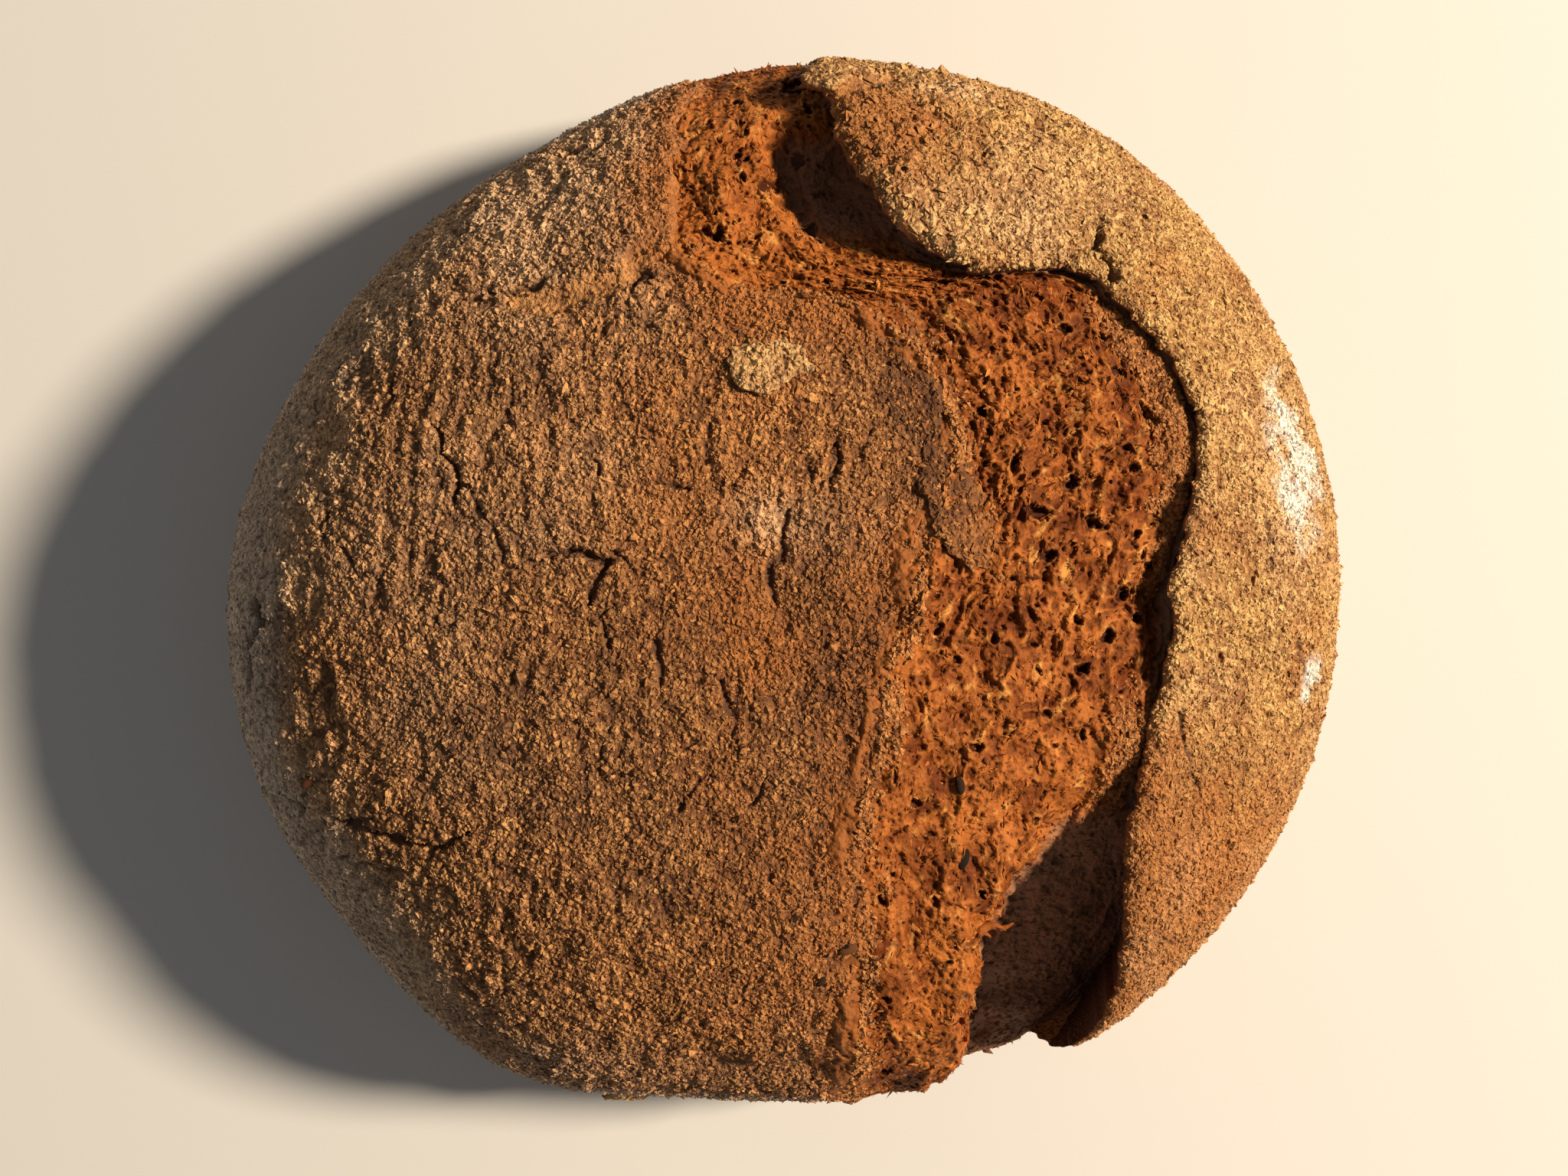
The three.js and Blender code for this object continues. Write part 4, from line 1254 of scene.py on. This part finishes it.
def grit_group():
    """Fine grit on Object coordinates: masks of grains, pits and broad mottle, and a height for bump. The
    grain mask is high on the bump's crests and the pit mask on its lows; they carry paler bran that is
    partly painted highlight, and painted shade.
    """
    known = bpy.data.node_groups.get("baked_grit")
    if known:
        return known
    group = bpy.data.node_groups.new("baked_grit", "ShaderNodeTree")
    face = group.interface
    for name, default in (("Grain Size", 0.0011), ("Mottle Size", 0.012)):
        socket = face.new_socket(name, in_out="INPUT", socket_type="NodeSocketFloat")
        socket.default_value = default
    for name in ("Grain", "Pit Shade", "Mottle", "Height"):
        face.new_socket(name, in_out="OUTPUT", socket_type="NodeSocketFloat")
    inside = group.nodes.new("NodeGroupInput")
    outside = group.nodes.new("NodeGroupOutput")
    place = group.nodes.new("ShaderNodeTexCoord").outputs["Object"]
    fineness = calculate(group, "DIVIDE", 1.0, inside.outputs["Grain Size"])
    breadth = calculate(group, "DIVIDE", 1.0, inside.outputs["Mottle Size"])
    grain = noise_node(group, place, 3.0, 0.65)
    mottle = noise_node(group, place, 4.0, 0.6)
    knobs = group.nodes.new("ShaderNodeTexVoronoi")
    group.links.new(place, knobs.inputs["Vector"])
    group.links.new(fineness, grain.inputs["Scale"])
    group.links.new(fineness, knobs.inputs["Scale"])
    group.links.new(breadth, mottle.inputs["Scale"])
    height = calculate(group, "MULTIPLY_ADD", knobs.outputs["Distance"], -0.6, grain.outputs["Fac"])
    # Grain follows the crests of the bump height and the pit mask its lows: partly painted highlight and
    # painted shade
    group.links.new(value_range(group, grain.outputs["Fac"], 0.45, 0.68), outside.inputs["Grain"])
    group.links.new(value_range(group, grain.outputs["Fac"], 0.46, 0.30), outside.inputs["Pit Shade"])
    group.links.new(value_range(group, mottle.outputs["Fac"], 0.35, 0.66), outside.inputs["Mottle"])
    group.links.new(height, outside.inputs["Height"])
    return group


def place_grit(tree, grain_size, mottle_size):
    node = tree.nodes.new("ShaderNodeGroup")
    node.node_tree = grit_group()
    node.inputs["Grain Size"].default_value = grain_size
    node.inputs["Mottle Size"].default_value = mottle_size
    return node.outputs


def add_bump(tree, shader, height, strength, distance):
    bump = tree.nodes.new("ShaderNodeBump")
    bump.inputs["Strength"].default_value = strength
    bump.inputs["Distance"].default_value = distance
    tree.links.new(height, bump.inputs["Height"])
    tree.links.new(bump.outputs["Normal"], shader.inputs["Normal"])


def crust_material(name, look, light, dark, bran, dark_and_shade):
    material, tree, shader = new_material(name)
    grit = place_grit(tree, 0.0011, 0.013)
    colour = mix_colour(tree, grit["Mottle"], dark, light)
    # Paler bran on the grain crests and on raised relief: partly real bran, partly painted highlight on the
    # tips
    colour = mix_colour(tree, calculate(tree, "MULTIPLY", grit["Grain"], 0.5), colour, bran)
    colour = mix_colour(tree, attribute(tree, "tone_and_highlight", 0.75), colour, bran)
    colour = mix_colour(tree, attribute(tree, "orange", 0.8), colour, look.amber_colour)
    colour = mix_colour(tree, attribute(tree, "toast", 0.85), colour, look.toast_colour)
    floury = value_range(tree, grit["Grain"], 0.0, 0.8, 0.5, 0.9)
    flour = calculate(tree, "MULTIPLY", attribute(tree, "flour"), floury)
    colour = mix_colour(tree, flour, colour, look.flour_colour)
    # White flour on the dome's pale side, and painted glare on the rim's right edge
    colour = mix_colour(tree, attribute(tree, "white_and_glare", 0.85), colour, look.white_and_glare_colour)
    # Painted shade: pits, low places and holes darkened towards the recess shade colour
    colour = mix_colour(tree, calculate(tree, "MULTIPLY", grit["Pit Shade"], 0.7), colour, dark_and_shade)
    colour = mix_colour(tree, attribute(tree, "dark_and_shade", 0.75), colour, dark_and_shade)
    # Painted shade: cracks darkened to the recess shade colour
    colour = mix_colour(tree, attribute(tree, "crack", 0.9), colour, look.recess_shade_colour)
    tree.links.new(colour, shader.inputs["Base Color"])
    add_bump(tree, shader, grit["Height"], 1.0, 0.0011)
    return material


def crumb_material(look):
    material, tree, shader = new_material("torn_crumb")
    shader.inputs["Roughness"].default_value = 0.6
    shader.inputs["Specular IOR Level"].default_value = 0.08
    grit = place_grit(tree, 0.0008, 0.005)
    mottle = calculate(tree, "MULTIPLY", grit["Mottle"], 0.4)
    colour = mix_colour(tree, mottle, look.crumb_colour, look.crumb_gold)
    # Golden walls and pale films, partly painted highlight
    colour = mix_colour(tree, attribute(tree, "tone_and_highlight", 0.85), colour, look.crumb_gold)
    colour = mix_colour(tree, attribute(tree, "pale_and_glint", 0.65), colour, look.crumb_film_and_glint)
    # Painted shade in fine pits and in the pores
    colour = mix_colour(tree, calculate(tree, "MULTIPLY", grit["Pit Shade"], 0.55), colour, look.pore_shade_colour)
    colour = mix_colour(tree, attribute(tree, "dark_and_shade"), colour, look.pore_shade_colour)
    colour = mix_colour(tree, attribute(tree, "shut"), colour, look.crust_colour)
    # Painted shade tone deep in the tear and under the lip
    colour = mix_colour(tree, attribute(tree, "deep_shade", 0.9), colour, look.depth_shade_colour)
    tree.links.new(colour, shader.inputs["Base Color"])
    add_bump(tree, shader, grit["Height"], 0.7, 0.0005)
    return material


def base_material(look):
    material, tree, shader = new_material("base_crust")
    grit = place_grit(tree, 0.0015, 0.02)
    colour = mix_colour(tree, grit["Mottle"], look.toast_colour, look.crust_colour)
    flour = calculate(tree, "MULTIPLY", attribute(tree, "flour"), grit["Grain"])
    colour = mix_colour(tree, flour, colour, look.flour_colour)
    tree.links.new(colour, shader.inputs["Base Color"])
    add_bump(tree, shader, grit["Height"], 0.6, 0.0006)
    return material


def seed_material(look):
    material, tree, shader = new_material("seed_coat")
    shader.inputs["Specular IOR Level"].default_value = 0.1
    colour = mix_colour(tree, attribute(tree, "tone"), look.seed_colour, look.seed_dark)
    tree.links.new(colour, shader.inputs["Base Color"])
    return material


# Settings

class LoafSizes(bpy.types.PropertyGroup):
    """Sizes of the loaf's fine parts."""

    crust_relief: FloatProperty(
        name="Crust relief", description="Height of the crust's roughness", default=0.0009, unit="LENGTH")
    crumb_relief: FloatProperty(
        name="Crumb relief", description="Height of the torn crumb's folds", default=0.0010, unit="LENGTH")
    plate_thickness: FloatProperty(
        name="Plates", description="Thickness of the lifted pieces of crust", default=0.0016, unit="LENGTH")
    bran_size: FloatProperty(
        name="Bran", description="Size of the coarse bran grains", default=0.00105, unit="LENGTH")
    meal_size: FloatProperty(
        name="Meal", description="Size of the fine meal grains", default=0.0007, unit="LENGTH")
    grain_count: IntProperty(
        name="Grains", description="Number of grains in each scattered piece", default=24500)
    shred_count: IntProperty(
        name="Shreds", description="Number of torn shreds on each part of the crumb", default=4500)
    shred_size: FloatProperty(
        name="Shred size", description="Width of the crumb's shreds", default=0.0008, unit="LENGTH")
    strand_thickness: FloatProperty(
        name="Strands", description="Thickness of the strands across the notch",
        default=0.0024, unit="LENGTH")


class LoafLook(bpy.types.PropertyGroup):
    """Colours of the loaf."""

    crust_colour: FloatVectorProperty(
        name="Crust", description="Middle brown of the dome", subtype="COLOR",
        default=(0.212, 0.075, 0.0215))
    crust_dark: FloatVectorProperty(
        name="Dark crust", description="Darker mottle of the dome", subtype="COLOR",
        default=(0.127, 0.044, 0.0135))
    # Also laid on the grit's crests, partly as painted highlight
    bran_colour: FloatVectorProperty(
        name="Bran", description="Pale tips of the dome's grit", subtype="COLOR",
        default=(0.625, 0.305, 0.100))
    rim_colour: FloatVectorProperty(
        name="Rim", description="Golden crust of the rim", subtype="COLOR", default=(0.40, 0.212, 0.064))
    rim_dark: FloatVectorProperty(
        name="Dark rim", description="Darker mottle of the rim", subtype="COLOR",
        default=(0.22, 0.088, 0.027))
    # Also laid on the grit's crests, partly as painted highlight
    rim_bran: FloatVectorProperty(
        name="Rim bran", description="Pale tips of the rim's grit", subtype="COLOR",
        default=(0.67, 0.425, 0.162))
    # Painted shade colour for the rim's recesses
    rim_recess_shade: FloatVectorProperty(
        name="Rim hollows", description="Recesses of the rim's grit", subtype="COLOR",
        default=(0.17, 0.066, 0.020))
    toast_colour: FloatVectorProperty(
        name="Toast", description="Toasted patches", subtype="COLOR", default=(0.075, 0.0275, 0.0100))
    flour_colour: FloatVectorProperty(
        name="Flour", description="Floury patches", subtype="COLOR", default=(0.68, 0.435, 0.235))
    # White flour, also used for painted glare on the rim
    white_and_glare_colour: FloatVectorProperty(
        name="White flour", description="Loose white flour", subtype="COLOR", default=(0.76, 0.76, 0.68))
    crumb_colour: FloatVectorProperty(
        name="Crumb", description="Orange brown of the torn crumb", subtype="COLOR",
        default=(0.117, 0.0255, 0.0043))
    amber_colour: FloatVectorProperty(
        name="Amber", description="Thin amber crust", subtype="COLOR", default=(0.35, 0.118, 0.0250))
    crumb_gold: FloatVectorProperty(
        name="Crumb walls", description="Golden torn walls", subtype="COLOR",
        default=(0.372, 0.115, 0.0222))
    # Pale films, partly painted highlight
    crumb_film_and_glint: FloatVectorProperty(
        name="Crumb films", description="Pale thin films", subtype="COLOR", default=(0.70, 0.345, 0.086))
    # Painted shade inside the pores
    pore_shade_colour: FloatVectorProperty(
        name="Pores", description="Inside of the pores", subtype="COLOR", default=(0.045, 0.011, 0.004))
    # Painted shade tone deep in the tear and under the lip
    depth_shade_colour: FloatVectorProperty(
        name="Depths", description="Crumb deep in the tear", subtype="COLOR", default=(0.275, 0.138, 0.078))
    # Painted shade colour for recesses and cracks of the crust
    recess_shade_colour: FloatVectorProperty(
        name="Hollows", description="Recesses and cracks of the crust", subtype="COLOR",
        default=(0.075, 0.031, 0.015))
    seed_colour: FloatVectorProperty(
        name="Seeds", description="Brown seed coats", subtype="COLOR", default=(0.13, 0.045, 0.016))
    seed_dark: FloatVectorProperty(
        name="Dark seeds", description="Black seed coats", subtype="COLOR", default=(0.010, 0.007, 0.005))


class LoafStage(bpy.types.PropertyGroup):
    """Floor, light and camera."""

    floor_size: FloatProperty(
        name="Floor", description="Width of the floor", default=8.0, unit="LENGTH")
    floor_colour: FloatVectorProperty(
        name="Floor colour", description="Plain pale floor", subtype="COLOR", default=(0.55, 0.53, 0.50))
    camera_height: FloatProperty(
        name="Camera height", description="Height of the camera over the base",
        default=0.4225, unit="LENGTH")
    view_angle: FloatProperty(
        name="View", description="Width of the camera's view", default=math.radians(45), subtype="ANGLE")
    key_power: FloatProperty(
        name="Key light", description="Power of the key light", default=111.0, unit="POWER")
    key_size: FloatProperty(
        name="Key size", description="Width of the key light", default=0.34, unit="LENGTH")
    key_distance: FloatProperty(
        name="Key distance", description="Distance of the key light", default=2.2, unit="LENGTH")
    key_elevation: FloatProperty(
        name="Key height", description="Height of the key light over the horizon",
        default=math.radians(40), subtype="ANGLE")
    key_turn: FloatProperty(
        name="Key turn", description="Turn of the key light from the right",
        default=math.radians(11), subtype="ANGLE")
    key_colour: FloatVectorProperty(
        name="Key colour", description="Warm tint of the key light", subtype="COLOR",
        default=(1.0, 0.86, 0.68))
    fill_strength: FloatProperty(
        name="Fill", description="Strength of the light from all round", default=0.18)


# Operators

class LOAF_OT_crust(bpy.types.Operator):
    """Model the dome's crust and the burst rim"""
    bl_idname = "loaf.make_crust"
    bl_label = "Dome and rim"

    def execute(self, context):
        look, sizes = context.scene.loaf_look, context.scene.loaf_sizes
        browns = look.crust_colour, look.crust_dark, look.bran_colour, look.recess_shade_colour
        golds = look.rim_colour, look.rim_dark, look.rim_bran, look.rim_recess_shade
        dome = crust_material("dome_crust", look, *browns)
        rim = crust_material("rim_crust", look, *golds)
        make_dome(sizes, dome)
        make_rim(sizes, rim)
        return {"FINISHED"}


class LOAF_OT_crumb(bpy.types.Operator):
    """Model the torn crumb between dome and rim"""
    bl_idname = "loaf.make_crumb"
    bl_label = "Torn crumb"

    def execute(self, context):
        make_crumb(context.scene.loaf_sizes, crumb_material(context.scene.loaf_look))
        return {"FINISHED"}


class LOAF_OT_plates(bpy.types.Operator):
    """Model the lifted pieces of crust"""
    bl_idname = "loaf.make_plates"
    bl_label = "Lifted crust"

    def execute(self, context):
        for plate in PLATES:
            make_plate(*plate, context.scene.loaf_sizes)
        return {"FINISHED"}


class LOAF_OT_base(bpy.types.Operator):
    """Model the flat floury base"""
    bl_idname = "loaf.make_base"
    bl_label = "Base crust"

    def execute(self, context):
        make_base(base_material(context.scene.loaf_look))
        return {"FINISHED"}


class LOAF_OT_bran(bpy.types.Operator):
    """Scatter bran and meal over the crust, and shreds and strands over the crumb"""
    bl_idname = "loaf.scatter_bran"
    bl_label = "Bran and shreds"

    def execute(self, context):
        sizes = context.scene.loaf_sizes
        many, bran, meal = sizes.grain_count, sizes.bran_size, sizes.meal_size
        # Name, ground, weighting, count, size, stretch and seed, then a material and whether swirled
        layers = [
            ("dome_bran", "crust_dome", "grit", many, bran, GRAIN_STRETCH, 3),
            ("dome_meal", "crust_dome", "grit", many, meal, GRAIN_STRETCH, 5),
            ("dome_grit", "crust_dome", "grit", many * 2 // 3, (bran + meal) / 2, GRAIN_STRETCH, 4),
            ("rim_bran", "crust_rim", "grit", many // 2, bran, GRAIN_STRETCH, 7),
            ("tongue_flakes", "crust_rim", "flaky", many // 10, FLAKE_GROWTH * bran, FLAKE_STRETCH, 8),
            ("rim_meal", "crust_rim", "grit", many, meal, GRAIN_STRETCH, 9),
        ]
        for number, (name, *_) in enumerate(PLATES):
            count = len(bpy.data.objects[name].data.vertices) // VERTICES_TO_A_GRAIN
            count = max(count, LEAST_GRAINS)
            layers.append((f"{name}_bran", name, "grit", count, bran, GRAIN_STRETCH, 11 + number))
        dome = bpy.data.materials["dome_crust"]
        for number, (name, *_) in enumerate(CRUMB_PARTS):
            grains = many // 10, bran, GRAIN_STRETCH, 21 + number, dome
            layers.append((f"{name}_bran", name, "bran", *grains))
            shreds = sizes.shred_count, sizes.shred_size, SHRED_STRETCH, 31 + number, None, True
            layers.append((f"{name}_shreds", name, "grit", *shreds))
        for name, ground, *scatter in layers:
            scatter_grains(name, bpy.data.objects[ground], *scatter)
        make_strands(sizes, bpy.data.materials["torn_crumb"])
        return {"FINISHED"}


class LOAF_OT_seeds(bpy.types.Operator):
    """Set the whole seeds that show"""
    bl_idname = "loaf.make_seeds"
    bl_label = "Whole seeds"

    def execute(self, context):
        context.view_layer.update()
        pieces = [bpy.data.objects[name] for name in SEED_GROUNDS]
        make_seeds(pieces, seed_material(context.scene.loaf_look))
        return {"FINISHED"}


class LOAF_OT_stage(bpy.types.Operator):
    """Set the floor, light and camera"""
    bl_idname = "loaf.set_stage"
    bl_label = "Stage"

    def execute(self, context):
        stage = context.scene.loaf_stage
        set_floor(stage)
        set_light(context.scene, stage)
        set_camera(context.scene, stage)
        return {"FINISHED"}


def set_floor(stage):
    bm = bmesh.new()
    bmesh.ops.create_grid(bm, x_segments=1, y_segments=1, size=stage.floor_size / 2)
    mesh = mesh_of(bm, "floor")
    floor = bpy.data.objects.new("floor", mesh)
    bpy.context.scene.collection.objects.link(floor)
    material, tree, shader = new_material("pale_floor")
    shader.inputs["Base Color"].default_value = (*stage.floor_colour, 1.0)
    mesh.materials.append(material)


def set_light(scene, stage):
    world = bpy.data.worlds.new("soft_fill")
    scene.world = world
    world.use_nodes = True
    background = world.node_tree.nodes["Background"]
    background.inputs["Color"].default_value = (0.95, 0.97, 1.0, 1.0)
    background.inputs["Strength"].default_value = stage.fill_strength
    key = bpy.data.lights.new("key", "AREA")
    key.shape = "DISK"
    key.size = stage.key_size
    key.energy = stage.key_power
    key.color = stage.key_colour
    lamp = bpy.data.objects.new("key", key)
    scene.collection.objects.link(lamp)
    direction = Matrix.Rotation(stage.key_turn, 4, "Z")
    direction @= Matrix.Rotation(math.pi / 2 - stage.key_elevation, 4, "Y")
    lamp.matrix_world = direction @ Matrix.Translation((0, 0, stage.key_distance))


def set_camera(scene, stage):
    lens = bpy.data.cameras.new("camera")
    lens.sensor_width = 36.0
    lens.lens = lens.sensor_width / 2 / math.tan(stage.view_angle / 2)
    camera = bpy.data.objects.new("camera", lens)
    scene.collection.objects.link(camera)
    camera.location = (-MIDDLE[0] * MM, -MIDDLE[1] * MM, stage.camera_height)
    scene.camera = camera
    scene.view_settings.view_transform = "Standard"


STEPS = ("make_crust", "make_crumb", "make_plates", "make_base", "scatter_bran", "make_seeds", "set_stage")


class LOAF_PT_panel(bpy.types.Panel):
    """Buttons for the loaf's pieces"""
    bl_idname = "LOAF_PT_panel"
    bl_label = "Multigrain loaf"
    bl_space_type = "VIEW_3D"
    bl_region_type = "UI"
    bl_category = "Loaf"

    def draw(self, context):
        for name in STEPS:
            self.layout.operator(f"loaf.{name}")


CLASSES = (
    LoafSizes, LoafLook, LoafStage, LOAF_OT_crust, LOAF_OT_crumb, LOAF_OT_plates, LOAF_OT_base,
    LOAF_OT_bran, LOAF_OT_seeds, LOAF_OT_stage, LOAF_PT_panel,
)


def register():
    for item in CLASSES:
        bpy.utils.register_class(item)
    bpy.types.Scene.loaf_sizes = PointerProperty(type=LoafSizes)
    bpy.types.Scene.loaf_look = PointerProperty(type=LoafLook)
    bpy.types.Scene.loaf_stage = PointerProperty(type=LoafStage)


def unregister():
    del bpy.types.Scene.loaf_stage
    del bpy.types.Scene.loaf_look
    del bpy.types.Scene.loaf_sizes
    for item in reversed(CLASSES):
        bpy.utils.unregister_class(item)


def main():
    register()
    for name in STEPS:
        getattr(bpy.ops.loaf, name)()


if __name__ == "__main__":
    main()
